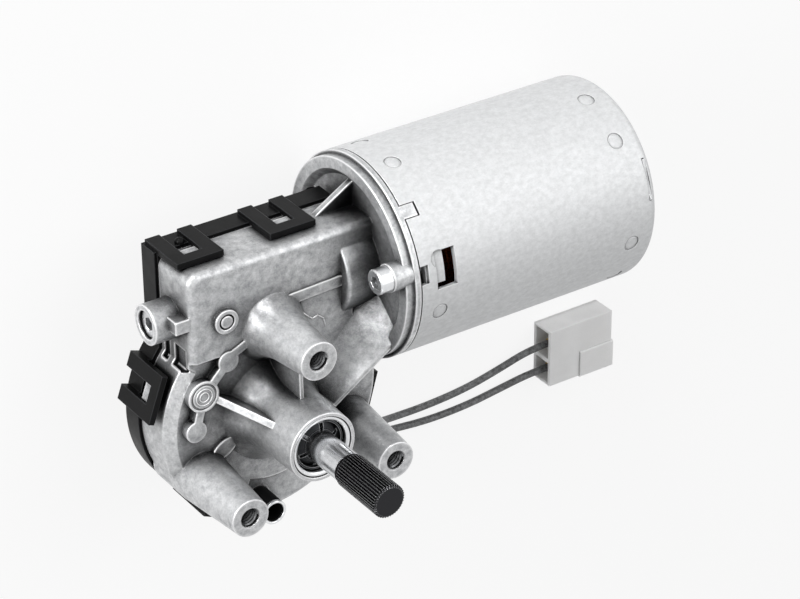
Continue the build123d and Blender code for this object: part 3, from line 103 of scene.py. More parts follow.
def linear(hex_colour: str) -> tuple[float, float, float, float]:
    """Turn an sRGB hex colour into a linear colour.

    Args:
        hex_colour: Six hex digits after a hash sign.

    Returns:
        Red, green, blue and an alpha of one.
    """
    channels = [int(hex_colour[i : i + 2], 16) / 255 for i in (1, 3, 5)]
    flat = [c / 12.92 if c <= 0.04045 else ((c + 0.055) / 1.055) ** 2.4 for c in channels]
    return (*flat, 1.0)


def add_node(
    tree: bpy.types.NodeTree,
    kind: str,
    values: dict[str | int, object] | None = None,
    links: dict[str | int, bpy.types.NodeSocket] | None = None,
    **settings: object,
) -> bpy.types.Node:
    """Add one shader node with its settings and links.

    Args:
        tree: Node tree that takes the node.
        kind: The node's type name after the ShaderNode prefix.
        values: Constants by input name or index.
        links: Output sockets of other nodes by input name or index.
        settings: Properties of the node itself.

    Returns:
        The new node.
    """
    node = tree.nodes.new("ShaderNode" + kind)
    for name, value in settings.items():
        setattr(node, name, value)
    for socket, value in (values or {}).items():
        node.inputs[socket].default_value = value
    for socket, source in (links or {}).items():
        tree.links.new(source, node.inputs[socket])
    return node


def sees_white(tree: bpy.types.NodeTree) -> bpy.types.NodeSocket:
    """Tell the rays that see plain white from those that light the object.

    Args:
        tree: Node tree of the floor's material or of the world.

    Returns:
        A socket that is one for the rays of the enum and nought for the others.
    """
    path = add_node(tree, "LightPath").outputs
    seen = path[Ray.CAMERA.value]
    for ray in (Ray.GLOSSY, Ray.TRANSMISSION):
        seen = add_node(
            tree, "Math", links={0: seen, 1: path[ray.value]}, operation="MAXIMUM"
        ).outputs["Value"]
    return seen


@dataclass(frozen=True)
class Finish:
    """A surface as its maker leaves it, with soft patches and a fine grain; its outer edges show
    wear and a painted highlight, and its hollows painted shade.

    Attributes:
        name: Common name of the material and how its surface was made.
        colour: Main colour.
        stain: Colour of the patches.
        metallic: Share of metal; a dull skin or a plate's film takes it below one.
        roughness: Middle roughness.
        roughness_play: How far the roughness goes up and down with the patches.
        shine: Specular level, 0.5 for a plain polished surface.
        patch_mm: Size of the patches.
        grain_mm: Size of the grain.
        grain_depth_mm: Height of the grain.
        stretch: How many times longer the patches and the grain are along each axis.
        round_mm: Radius that the light sees on the sharp edges.
        edge: Colour of the outer edges, partly rubbed wear and partly painted highlight, or none.
        edge_mm: Width of an edge that shows.
        painted_shade: Colour of the painted shade in the hollows, or none.
        painted_shade_mm: Reach of the painted shade.
        painted_shade_open: Openness at which the painted shade is darkest, and at which it ends.
    """

    name: str
    colour: str
    stain: str
    metallic: float = 0.0
    roughness: float = 0.5
    roughness_play: float = 0.08
    shine: float = 0.5
    patch_mm: float = 12.0
    grain_mm: float = 0.8
    grain_depth_mm: float = 0.02
    stretch: tuple[float, float, float] = (1.0, 1.0, 1.0)
    round_mm: float = 0.25
    edge: str | None = None
    edge_mm: float = 0.5
    painted_shade: str | None = None
    painted_shade_mm: float = 5.0
    painted_shade_open: tuple[float, float] = (0.3, 0.85)

    def material(self) -> bpy.types.Material:
        """Make the material with its nodes.

        Returns:
            The new material.
        """
        material = bpy.data.materials.new(self.name)
        material.use_nodes = True
        tree = material.node_tree
        shader = tree.nodes["Principled BSDF"]
        shader.inputs["Metallic"].default_value = self.metallic
        shader.inputs["Specular IOR Level"].default_value = self.shine
        place = add_node(tree, "TexCoord").outputs["Object"]
        squeezed = add_node(
            tree,
            "Mapping",
            values={"Scale": tuple(1 / share for share in self.stretch)},
            links={"Vector": place},
        ).outputs["Vector"]
        patches = add_node(
            tree,
            "TexNoise",
            values={"Scale": 1 / (self.patch_mm * MM), **PATCH_NOISE},
            links={"Vector": squeezed},
        ).outputs["Fac"]
        grain = add_node(
            tree,
            "TexNoise",
            values={"Scale": 1 / (self.grain_mm * MM), **GRAIN_NOISE},
            links={"Vector": squeezed},
        ).outputs["Fac"]
        colour = self.base(tree, shader, place, patches, grain)
        # Painted shade goes into the hollows, then wear and a painted highlight onto the outer
        # edges.
        if self.painted_shade:
            colour = self.paint_shade_in_hollows(tree, colour)
        if self.edge:
            colour = self.edged(tree, colour)
        tree.links.new(colour, shader.inputs["Base Color"])
        rough = add_node(
            tree,
            "MapRange",
            values={
                "From Min": ROUGHNESS_SPAN[0],
                "From Max": ROUGHNESS_SPAN[1],
                "To Min": self.roughness - self.roughness_play,
                "To Max": self.roughness + self.roughness_play,
            },
            links={"Value": patches},
        ).outputs["Result"]
        tree.links.new(rough, shader.inputs["Roughness"])
        rounded = add_node(
            tree, "Bevel", values={"Radius": self.round_mm * MM}, samples=EDGE_RAYS
        ).outputs["Normal"]
        bump = add_node(
            tree,
            "Bump",
            values={"Strength": 1.0, "Distance": self.grain_depth_mm * MM},
            links={"Height": grain, "Normal": rounded},
        ).outputs["Normal"]
        tree.links.new(bump, shader.inputs["Normal"])
        return material

    def base(
        self,
        tree: bpy.types.NodeTree,
        shader: bpy.types.Node,
        place: bpy.types.NodeSocket,
        patches: bpy.types.NodeSocket,
        grain: bpy.types.NodeSocket,
    ) -> bpy.types.NodeSocket:
        """Lay the main colour with its patches.

        Args:
            tree: The material's node tree.
            shader: The surface shader, not used here.
            place: Coordinates of the surface, not used here.
            patches: Pattern of the patches.
            grain: Pattern of the grain.

        Returns:
            The colour's output socket.
        """
        level = add_node(
            tree,
            "Math",
            values={1: GRAIN_SHARE},
            links={0: grain},
            operation="MULTIPLY",
        ).outputs["Value"]
        level = add_node(
            tree,
            "Math",
            values={1: PATCH_SHARE},
            links={0: patches, 2: level},
            operation="MULTIPLY_ADD",
        ).outputs["Value"]
        share = add_node(
            tree,
            "MapRange",
            values={"From Min": COLOUR_SPAN[0], "From Max": COLOUR_SPAN[1]},
            links={"Value": level},
        ).outputs["Result"]
        return add_node(
            tree,
            "Mix",
            values={"A": linear(self.colour), "B": linear(self.stain)},
            links={"Factor": share},
            data_type="RGBA",
        ).outputs["Result"]

    def paint_shade_in_hollows(
        self, tree: bpy.types.NodeTree, colour: bpy.types.NodeSocket
    ) -> bpy.types.NodeSocket:
        """Paint shade into the hollows, darkest where little of the surroundings is open.

        Args:
            tree: The material's node tree.
            colour: Colour so far.

        Returns:
            The colour's output socket.
        """
        openness = add_node(
            tree,
            "AmbientOcclusion",
            values={"Distance": self.painted_shade_mm * MM},
            samples=PAINTED_SHADE_RAYS,
        ).outputs["AO"]
        share = add_node(
            tree,
            "MapRange",
            values={"From Min": self.painted_shade_open[0], "From Max": self.painted_shade_open[1]},
            links={"Value": openness},
        ).outputs["Result"]
        return add_node(
            tree,
            "Mix",
            values={"A": linear(self.painted_shade)},
            links={"Factor": share, "B": colour},
            data_type="RGBA",
        ).outputs["Result"]

    def edged(self, tree: bpy.types.NodeTree, colour: bpy.types.NodeSocket) -> bpy.types.NodeSocket:
        """Mix the edge colour in along the outer edges, where the solid is thin to the inside, as
        wear and a painted highlight.

        Args:
            tree: The material's node tree.
            colour: Colour so far.

        Returns:
            The colour's output socket.
        """
        backing = add_node(
            tree,
            "AmbientOcclusion",
            values={"Distance": self.edge_mm * MM},
            samples=EDGE_RAYS,
            inside=True,
            only_local=True,
        ).outputs["AO"]
        wear_and_highlight = add_node(
            tree,
            "MapRange",
            values={"From Min": EDGE_BACKING[0], "From Max": EDGE_BACKING[1]},
            links={"Value": backing},
        ).outputs["Result"]
        return add_node(
            tree,
            "Mix",
            values={"B": linear(self.edge)},
            links={"Factor": wear_and_highlight, "A": colour},
            data_type="RGBA",
        ).outputs["Result"]


@dataclass(frozen=True)
class ShaftFinish(Finish):
    """Ground journal below, black oxide on the serrated end above.

    Attributes:
        oxide: Colour of the oxide.
        oxide_start_mm: Height at which the oxide is full.
        oxide_fade_mm: Length over which it comes in below that.
    """

    oxide: str = "#2e2e30"
    oxide_start_mm: float = 15.4
    oxide_fade_mm: float = 0.1

    def base(
        self,
        tree: bpy.types.NodeTree,
        shader: bpy.types.Node,
        place: bpy.types.NodeSocket,
        patches: bpy.types.NodeSocket,
        grain: bpy.types.NodeSocket,
    ) -> bpy.types.NodeSocket:
        """Lay the ground steel and the oxide above it; the arguments are the plain finish's."""
        steel = super().base(tree, shader, place, patches, grain)
        height = add_node(tree, "SeparateXYZ", links={"Vector": place}).outputs["Z"]
        share = add_node(
            tree,
            "MapRange",
            values={
                "From Min": (self.oxide_start_mm - self.oxide_fade_mm) * MM,
                "From Max": self.oxide_start_mm * MM,
            },
            links={"Value": height},
        ).outputs["Result"]
        return add_node(
            tree,
            "Mix",
            values={"B": linear(self.oxide)},
            links={"Factor": share, "A": steel},
            data_type="RGBA",
        ).outputs["Result"]


@dataclass(frozen=True)
class SheetStack(Finish):
    """Laminations that show as fine stripes along X.

    Attributes:
        sheet_mm: Thickness of a sheet, drawn coarser than the real 0.5 mm so that it shows.
        joint: Colour of the varnish between the sheets.
    """

    sheet_mm: float = 1.0
    joint: str = "#2a2b2d"

    def base(
        self,
        tree: bpy.types.NodeTree,
        shader: bpy.types.Node,
        place: bpy.types.NodeSocket,
        patches: bpy.types.NodeSocket,
        grain: bpy.types.NodeSocket,
    ) -> bpy.types.NodeSocket:
        """Lay the plain colour and darken the joints; the arguments are the plain finish's."""
        plain = super().base(tree, shader, place, patches, grain)
        stripes = add_node(
            tree,
            "TexWave",
            values={"Scale": pi / (WAVE_RUN * self.sheet_mm * MM), "Distortion": 0.0},
            links={"Vector": place},
            wave_type="BANDS",
            bands_direction="X",
        ).outputs["Fac"]
        return add_node(
            tree,
            "Mix",
            values={"A": linear(self.joint)},
            links={"Factor": stripes, "B": plain},
            data_type="RGBA",
        ).outputs["Result"]


@dataclass(frozen=True)
class Nylon(Finish):
    """Natural nylon, which lets some light into its surface.

    Attributes:
        depth_mm: How far light goes in.
        clouded: Share of the light that comes back from below the surface.
        ior: Index of refraction.
    """

    depth_mm: float = 2.0
    clouded: float = 0.6
    ior: float = 1.53

    def base(
        self,
        tree: bpy.types.NodeTree,
        shader: bpy.types.Node,
        place: bpy.types.NodeSocket,
        patches: bpy.types.NodeSocket,
        grain: bpy.types.NodeSocket,
    ) -> bpy.types.NodeSocket:
        """Turn on the light below the surface; the arguments are the plain finish's."""
        shader.inputs["Subsurface Weight"].default_value = self.clouded
        shader.inputs["Subsurface Radius"].default_value = (1.0, 1.0, 1.0)
        shader.inputs["Subsurface Scale"].default_value = self.depth_mm * MM
        shader.inputs["IOR"].default_value = self.ior
        return super().base(tree, shader, place, patches, grain)


# A grain under about 0.4 mm is finer than a pixel at the photograph's scale. On the casting, the
# zinc plate, the polyester and the PVC the real grain is 0.1 to 0.2 mm, so there it is drawn
# coarser, to show.

# Pressure die-cast aluminium: a pale, cloudy skin with flow marks, rubbed bright along the
# outer edges with a painted highlight on them, and near black painted shade in the deep hollows
# between the bosses.
DIE_CAST = Finish(
    "die_cast_aluminium",
    colour="#cfd0d1",
    stain="#9a9b9d",
    metallic=0.7,
    roughness=0.4,
    roughness_play=0.1,
    patch_mm=2.6,
    grain_mm=0.6,
    grain_depth_mm=0.09,
    round_mm=0.8,
    edge="#f4f4f5",
    edge_mm=0.9,
    painted_shade="#08080a",
    painted_shade_mm=14.0,
    painted_shade_open=(0.52, 0.97),
)
# The casting's bores, cut by the tap: bright crests over roots darkened by painted shade.
TAPPED_BORE = Finish(
    "tapped_aluminium",
    colour="#8a8b8d",
    stain="#7b7c7e",
    metallic=1.0,
    roughness=0.3,
    patch_mm=2.0,
    grain_mm=0.3,
    grain_depth_mm=0.005,
    round_mm=0.1,
    painted_shade="#060606",
    painted_shade_mm=5.0,
    painted_shade_open=(0.3, 0.8),
)
# Drawn steel with a satin zinc plate: pale and even, with faint spangles drawn out along the can.
# Painted shade darkens small hollows such as the stakes' rims, and a faint painted highlight lies
# along the outer edges.
ZINC_PLATE = Finish(
    "zinc_plated_drawn_steel",
    colour="#d0d1d2",
    stain="#bfc0c1",
    metallic=0.5,
    roughness=0.58,
    roughness_play=0.03,
    patch_mm=1.6,
    grain_mm=0.45,
    grain_depth_mm=0.02,
    stretch=(1.4, 1.0, 1.0),
    round_mm=0.4,
    edge="#dadbdc",
    edge_mm=0.3,
    painted_shade="#1c1c1d",
    painted_shade_mm=1.6,
    painted_shade_open=(0.4, 0.97),
)
# Small zinc-plated hardware: brighter than the can, with painted shade in its recesses such as
# the screws' sockets, and a painted highlight along its outer edges.
ZINC_HARDWARE = Finish(
    "zinc_plated_hardware",
    colour="#e6e7e8",
    stain="#d2d3d5",
    metallic=1.0,
    roughness=0.3,
    patch_mm=3.0,
    grain_mm=0.3,
    grain_depth_mm=0.004,
    edge="#f2f2f2",
    edge_mm=0.25,
    painted_shade="#1a1a1b",
    painted_shade_mm=2.0,
    painted_shade_open=(0.35, 0.85),
)
# Glass-filled polyester, moulded black: satin with a fine spark-eroded texture, and a painted
# highlight of grey along its outer edges.
BLACK_POLYESTER = Finish(
    "black_moulded_polyester",
    colour="#0d0d0e",
    stain="#090909",
    roughness=0.36,
    shine=0.1,
    patch_mm=10.0,
    grain_mm=0.5,
    grain_depth_mm=0.02,
    round_mm=0.5,
    edge="#3c3d3f",
    edge_mm=0.3,
)
# Nitrile rubber, moulded: dull black.
NITRILE_RUBBER = Finish(
    "moulded_nitrile_rubber",
    colour="#0c0c0d",
    stain="#131314",
    roughness=0.7,
    shine=0.1,
    patch_mm=5.0,
    grain_mm=0.4,
    grain_depth_mm=0.02,
)
# Centreless-ground steel: bright, with a fine even grain, and outer edges lightened partly by
# wear and partly by a painted highlight.
GROUND_STEEL = Finish(
    "ground_steel",
    colour="#c6c7c9",
    stain="#b3b4b7",
    metallic=1.0,
    roughness=0.24,
    roughness_play=0.05,
    patch_mm=4.0,
    grain_mm=0.3,
    grain_depth_mm=0.003,
    edge="#eeeeef",
    edge_mm=0.3,
)
# Ground steel, nearly a mirror with hair-fine rings up to the neck, and black oxide above it,
# where only the teeth's crests are rubbed bright, with a painted highlight on them and painted
# shade in the grooves.
SHAFT_STEEL = ShaftFinish(
    "ground_steel_with_black_oxide_end",
    colour="#dddee0",
    stain="#d2d3d5",
    metallic=1.0,
    roughness=0.22,
    roughness_play=0.03,
    patch_mm=6.0,
    grain_mm=0.25,
    grain_depth_mm=0.002,
    stretch=(1.0, 1.0, 0.3),
    round_mm=0.08,
    edge="#d9dadb",
    edge_mm=0.12,
    painted_shade="#030303",
    painted_shade_mm=0.7,
    painted_shade_open=(0.4, 0.9),
)
# Spring steel with black oxide, oiled, its outer edges lightened partly by wear and partly by a
# painted highlight.
BLACK_OXIDE = Finish(
    "black_oxide_spring_steel",
    colour="#1d1e20",
    stain="#2a2b2d",
    metallic=0.9,
    roughness=0.34,
    patch_mm=2.5,
    grain_mm=0.3,
    grain_depth_mm=0.005,
    edge="#b4b5b7",
    edge_mm=0.25,
)
# Sintered bronze, oil-soaked: brown with fine open pores.
SINTERED_BRONZE = Finish(
    "oil_soaked_sintered_bronze",
    colour="#8f7349",
    stain="#6d5636",
    metallic=0.9,
    roughness=0.48,
    patch_mm=2.0,
    grain_mm=0.25,
    grain_depth_mm=0.01,
)
# Natural acetal, moulded: milky white, slightly waxy, with painted shade in its hollows.
NATURAL_ACETAL = Finish(
    "natural_moulded_acetal",
    colour="#e6e3d8",
    stain="#dcd8ca",
    roughness=0.42,
    patch_mm=9.0,
    grain_mm=0.6,
    grain_depth_mm=0.01,
    painted_shade="#9c978a",
    painted_shade_mm=3.0,
)
# Sintered ferrite: dull charcoal with a dry grain, its outer edges lightened partly by wear and
# partly by a painted highlight.
SINTERED_FERRITE = Finish(
    "sintered_ferrite",
    colour="#3a3b3e",
    stain="#2e2f31",
    roughness=0.66,
    patch_mm=5.0,
    grain_mm=0.5,
    grain_depth_mm=0.03,
    edge="#54565a",
    edge_mm=0.4,
)
# Stacked electrical steel sheets with varnish on them.
ELECTRICAL_STEEL = SheetStack(
    "varnished_electrical_steel_sheets",
    colour="#77797d",
    stain="#65676b",
    metallic=0.8,
    roughness=0.4,
    patch_mm=5.0,
    grain_mm=0.4,
    grain_depth_mm=0.01,
)
# Enamelled copper wire: red-brown and glossy, with a grain as coarse as the wires.
ENAMELLED_COPPER = Finish(
    "enamelled_copper_wire",
    colour="#9a4a22",
    stain="#7c3717",
    metallic=0.7,
    roughness=0.28,
    patch_mm=2.0,
    grain_mm=0.5,
    grain_depth_mm=0.05,
)
# Turned bare copper: salmon, gone brown in patches, with painted shade in the slits between the
# bars.
BARE_COPPER = Finish(
    "turned_bare_copper",
    colour="#b8714a",
    stain="#8f5233",
    metallic=1.0,
    roughness=0.33,
    patch_mm=3.0,
    grain_mm=0.3,
    grain_depth_mm=0.005,
    painted_shade="#3b2418",
    painted_shade_mm=1.0,
)
# Pressed brass strip: pale gold with a rolled grain, its outer edges lightened partly by wear and
# partly by a painted highlight.
PRESSED_BRASS = Finish(
    "pressed_brass_strip",
    colour="#c2a667",
    stain="#a98f54",
    metallic=1.0,
    roughness=0.32,
    patch_mm=4.0,
    grain_mm=0.3,
    grain_depth_mm=0.005,
    stretch=(4.0, 1.0, 1.0),
    edge="#e5d29c",
    edge_mm=0.2,
)
# Pressed carbon with copper powder: dark grey and dry.
PRESSED_CARBON = Finish(
    "pressed_carbon",
    colour="#2b2a2a",
    stain="#383432",
    roughness=0.6,
    patch_mm=2.0,
    grain_mm=0.3,
    grain_depth_mm=0.02,
)
# Plasticised PVC insulation, extruded: matt grey with dark mottling and a faint ripple.
GREY_PVC = Finish(
    "extruded_grey_pvc",
    colour="#7c7d7e",
    stain="#3a3b3b",
    roughness=0.5,
    patch_mm=1.6,
    grain_mm=0.6,
    grain_depth_mm=0.04,
)
# Natural nylon, moulded: milky white and satin, with light in its edges from below the surface
# and a faint painted highlight on them, and painted shade in its hollows.
NATURAL_NYLON = Nylon(
    "natural_moulded_nylon",
    colour="#fafafa",
    stain="#f2f2f2",
    roughness=0.34,
    patch_mm=8.0,
    grain_mm=0.5,
    grain_depth_mm=0.01,
    round_mm=0.6,
    edge="#fbfbfb",
    edge_mm=0.7,
    painted_shade="#a8a8a8",
    painted_shade_mm=3.0,
)

CAD_FINISHES: dict[Finish, tuple[str, ...]] = {
    DIE_CAST: ("gear_housing",),
    ZINC_PLATE: ("motor_can", "end_cap"),
    ZINC_HARDWARE: (
        "magnet_clips",
        "bush_clip",
        "vent_ferrule",
        "hub_seal_ring",
        "flange_screws",
        "thrust_screw",
    ),
    BLACK_POLYESTER: ("gear_cover", "brush_plate"),
    NITRILE_RUBBER: ("cover_seal", "can_gasket", "lead_grommet", "vent_tube"),
    GROUND_STEEL: ("armature_shaft", "wheel_hub", "thrust_washer"),
    SHAFT_STEEL: ("output_shaft",),
    BLACK_OXIDE: ("claw_washer",),
    SINTERED_BRONZE: (
        "front_shaft_bush",
        "rear_shaft_bush",
        "worm_bush",
        "armature_bush",
        "end_cap_bush",
    ),
    NATURAL_ACETAL: ("worm_wheel", "thrust_pad"),
    SINTERED_FERRITE: ("magnet_1", "magnet_2", "magnet_3", "magnet_4"),
    ELECTRICAL_STEEL: ("armature_core",),
    ENAMELLED_COPPER: ("armature_winding", "choke_1", "choke_2"),
    BARE_COPPER: ("commutator",),
    PRESSED_BRASS: (
        "brush_box_1",
        "brush_box_2",
        "brush_spring_1",
        "brush_spring_2",
        "terminal_1",
        "terminal_2",
    ),
    PRESSED_CARBON: ("brush_1", "brush_2"),
    NATURAL_NYLON: ("plug_housing",),
}


def dress(obj: bpy.types.Object, material: bpy.types.Material) -> None:
    """Give every material slot of a piece one material.

    Args:
        obj: The piece.
        material: Its material.
    """
    if not obj.material_slots:
        obj.data.materials.append(material)
    for material_slot in obj.material_slots:
        material_slot.material = material


def piece_from(
    bm: bmesh.types.BMesh,
    name: str,
    material: bpy.types.Material,
    body: str = GEARBOX,
) -> bpy.types.Object:
    """Turn a bmesh into a piece that rides on a body, smooth but for its sharp edges.

    Args:
        bm: The finished bmesh, which is freed.
        name: Name of the piece.
        material: Its material.
        body: The body that it rides on.

    Returns:
        The new object.
    """
    mesh = bpy.data.meshes.new(name)
    bm.to_mesh(mesh)
    bm.free()
    mesh.shade_smooth()
    mesh.set_sharp_from_angle(angle=SHARP_EDGE)
    obj = bpy.data.objects.new(name, mesh)
    bpy.context.scene.collection.objects.link(obj)
    dress(obj, material)
    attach(obj, body)
    LOG.info("%s made, %d faces", name, len(mesh.polygons))
    return obj


@dataclass
class OutputShaft:
    """Ground output shaft with its neck and its serrated end, whose grooves the solid lacks.

    Attributes:
        node: The solid that it stands for, which gives its ends.
        journal_mm: Radius of the ground journal.
        chamfer_mm: Chamfer at the lower end.
        neck_mm: Radius of the neck below the teeth.
        neck_start_mm: Height at which the neck starts.
        neck_slope_mm: Length of the slope down to the neck.
        teeth_start_mm: Height at which the teeth start.
        lead_mm: Length over which the teeth rise at both ends.
        crest_mm: Radius of the teeth.
        root_mm: Radius of the grooves.
        teeth: Number of teeth.
    """

    node: str = "output_shaft"
    journal_mm: float = 5.5
    chamfer_mm: float = 0.8
    neck_mm: float = 5.1
    neck_start_mm: float = 15.5
    neck_slope_mm: float = 0.2
    teeth_start_mm: float = 16.5
    lead_mm: float = 0.6
    crest_mm: float = 6.0
    root_mm: float = 5.45
    teeth: int = 38

    def build(self, material: bpy.types.Material) -> None:
        """Draw the shaft's section along its axis.

        Args:
            material: The shaft's material.
        """
        bottom, top = (corner[2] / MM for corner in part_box(self.node))
        foot = self.journal_mm - self.chamfer_mm
        tip = self.root_mm - self.lead_mm / 2
        stations = (
            (bottom, foot, foot),
            (bottom + self.chamfer_mm, self.journal_mm, self.journal_mm),
            (self.neck_start_mm, self.journal_mm, self.journal_mm),
            (self.neck_start_mm + self.neck_slope_mm, self.neck_mm, self.neck_mm),
            (self.teeth_start_mm, self.neck_mm, self.neck_mm),
            (self.teeth_start_mm, tip, tip),
            (self.teeth_start_mm + self.lead_mm, self.crest_mm, self.root_mm),
            (top - self.lead_mm, self.crest_mm, self.root_mm),
            (top, tip, tip),
        )
        bm = bmesh.new()
        points = 4 * self.teeth
        ring = bmesh.ops.create_circle(bm, cap_ends=True, radius=1.0, segments=points)["verts"]
        for station, (height, crest, root) in enumerate(stations):
            if station:
                rim = [edge for edge in bm.edges if edge.is_boundary]
                grown = bmesh.ops.extrude_edge_only(bm, edges=rim)["geom"]
                ring = [item for item in grown if isinstance(item, bmesh.types.BMVert)]
            for vert in ring:
                angle = atan2(vert.co.y, vert.co.x)
                reach = crest if round(angle / (2 * pi) * points) % 4 < 2 else root
                vert.co = Vector((cos(angle) * reach, sin(angle) * reach, height)) * MM
        bmesh.ops.contextual_create(bm, geom=[edge for edge in bm.edges if edge.is_boundary])
        bmesh.ops.recalc_face_normals(bm, faces=bm.faces)
        shaft = piece_from(bm, "serrated_shaft", material, body=OUTPUT)
        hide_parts(self.node)


@dataclass
class CanStakes:
    """Low domes on the floors of the can's round stakes, as the punch leaves them.

    Attributes:
        axis_mm: The motor's axis, as Y and Z.
        floor_mm: Distance of the floors from the axis.
        radius_mm: Radius of a dome.
        rise_mm: Its height above the floor.
        rows: Each row's place along X and the angles of its stakes in the first quarter.
        window_deg: Angle of the stake that the can's window takes away in the first row.
        sides: Points round a dome.
    """

    axis_mm: tuple[float, float] = (41.25, -39.5)
    floor_mm: float = 36.15
    radius_mm: float = 2.55
    rise_mm: float = 0.32
    rows: tuple[tuple[float, tuple[float, ...]], ...] = (
        (49.5, (13.0, 72.0)),
        (129.5, (13.0, 43.0)),
    )
    window_deg: float = 72.0
    sides: int = 40

    def build(self, material: bpy.types.Material) -> None:
        """Press the domes.

        Args:
            material: The can's material.
        """
        bm = bmesh.new()
        axis = Matrix.Translation(Vector((0, *self.axis_mm)) * MM)
        lens = Matrix.Diagonal((self.radius_mm * MM, self.radius_mm * MM, self.rise_mm * MM, 1.0))
        for x, angles in self.rows:
            for angle in (first + 90 * quarter for first in angles for quarter in range(4)):
                if angle == self.window_deg:
                    continue
                out = Matrix.Rotation(radians(angle - 90), 4, "X") @ Matrix.Translation(
                    Vector((x, 0, self.floor_mm)) * MM
                )
                bmesh.ops.create_uvsphere(
                    bm, u_segments=self.sides, v_segments=12, radius=1.0, matrix=axis @ out @ lens
                )
        piece_from(bm, "can_stakes", material)


@dataclass
class BossThreads:
    """M8 threads of the three mounting bosses, one winding ridge in each bore.

    Attributes:
        circle_mm: Radius of the circle that the bosses stand on.
        sink_mm: How far the ridge's foot lies in the bore's wall.
        first_deg: Angle of the first boss.
        count: Number of bosses.
        core_mm: Radius of the bores.
        crest_mm: Radius of the ridge's crest.
        pitch_mm: Pitch of the thread.
        crest_share: Width of the crest as a share of the pitch.
        start_mm: Height at which the ridge starts.
        turns: Number of turns.
        steps: Steps in a turn.
    """

    circle_mm: float = 33.0
    sink_mm: float = 0.05
    first_deg: float = 91.0
    count: int = 3
    core_mm: float = 3.4
    crest_mm: float = 3.0
    pitch_mm: float = 1.25
    crest_share: float = 0.12
    start_mm: float = -0.5
    turns: int = 15
    steps: int = 36

    def build(self, material: bpy.types.Material) -> None:
        """Wind the ridges.

        Args:
            material: The cut thread's material.
        """
        bm = bmesh.new()
        root = self.core_mm + self.sink_mm
        flank = (1 - self.crest_share) / 2
        profile = (
            (root, self.start_mm),
            (self.crest_mm, self.start_mm - flank * self.pitch_mm),
            (self.crest_mm, self.start_mm - (flank + self.crest_share) * self.pitch_mm),
            (root, self.start_mm - self.pitch_mm),
        )
        for boss in range(self.count):
            angle = radians(self.first_deg + 360 / self.count * boss)
            centre = Vector((cos(angle), sin(angle), 0)) * self.circle_mm
            corners = [centre + Vector((reach, 0, height)) for reach, height in profile]
            verts = [bm.verts.new(corner * MM) for corner in corners]
            face = bm.faces.new(verts)
            bmesh.ops.spin(
                bm,
                geom=[*verts, *face.edges, face],
                cent=centre * MM,
                axis=(0, 0, 1),
                dvec=(0, 0, -self.pitch_mm * MM / self.steps),
                angle=2 * pi * self.turns,
                steps=self.turns * self.steps,
            )
        bmesh.ops.recalc_face_normals(bm, faces=bm.faces)
        piece_from(bm, "boss_threads", material)


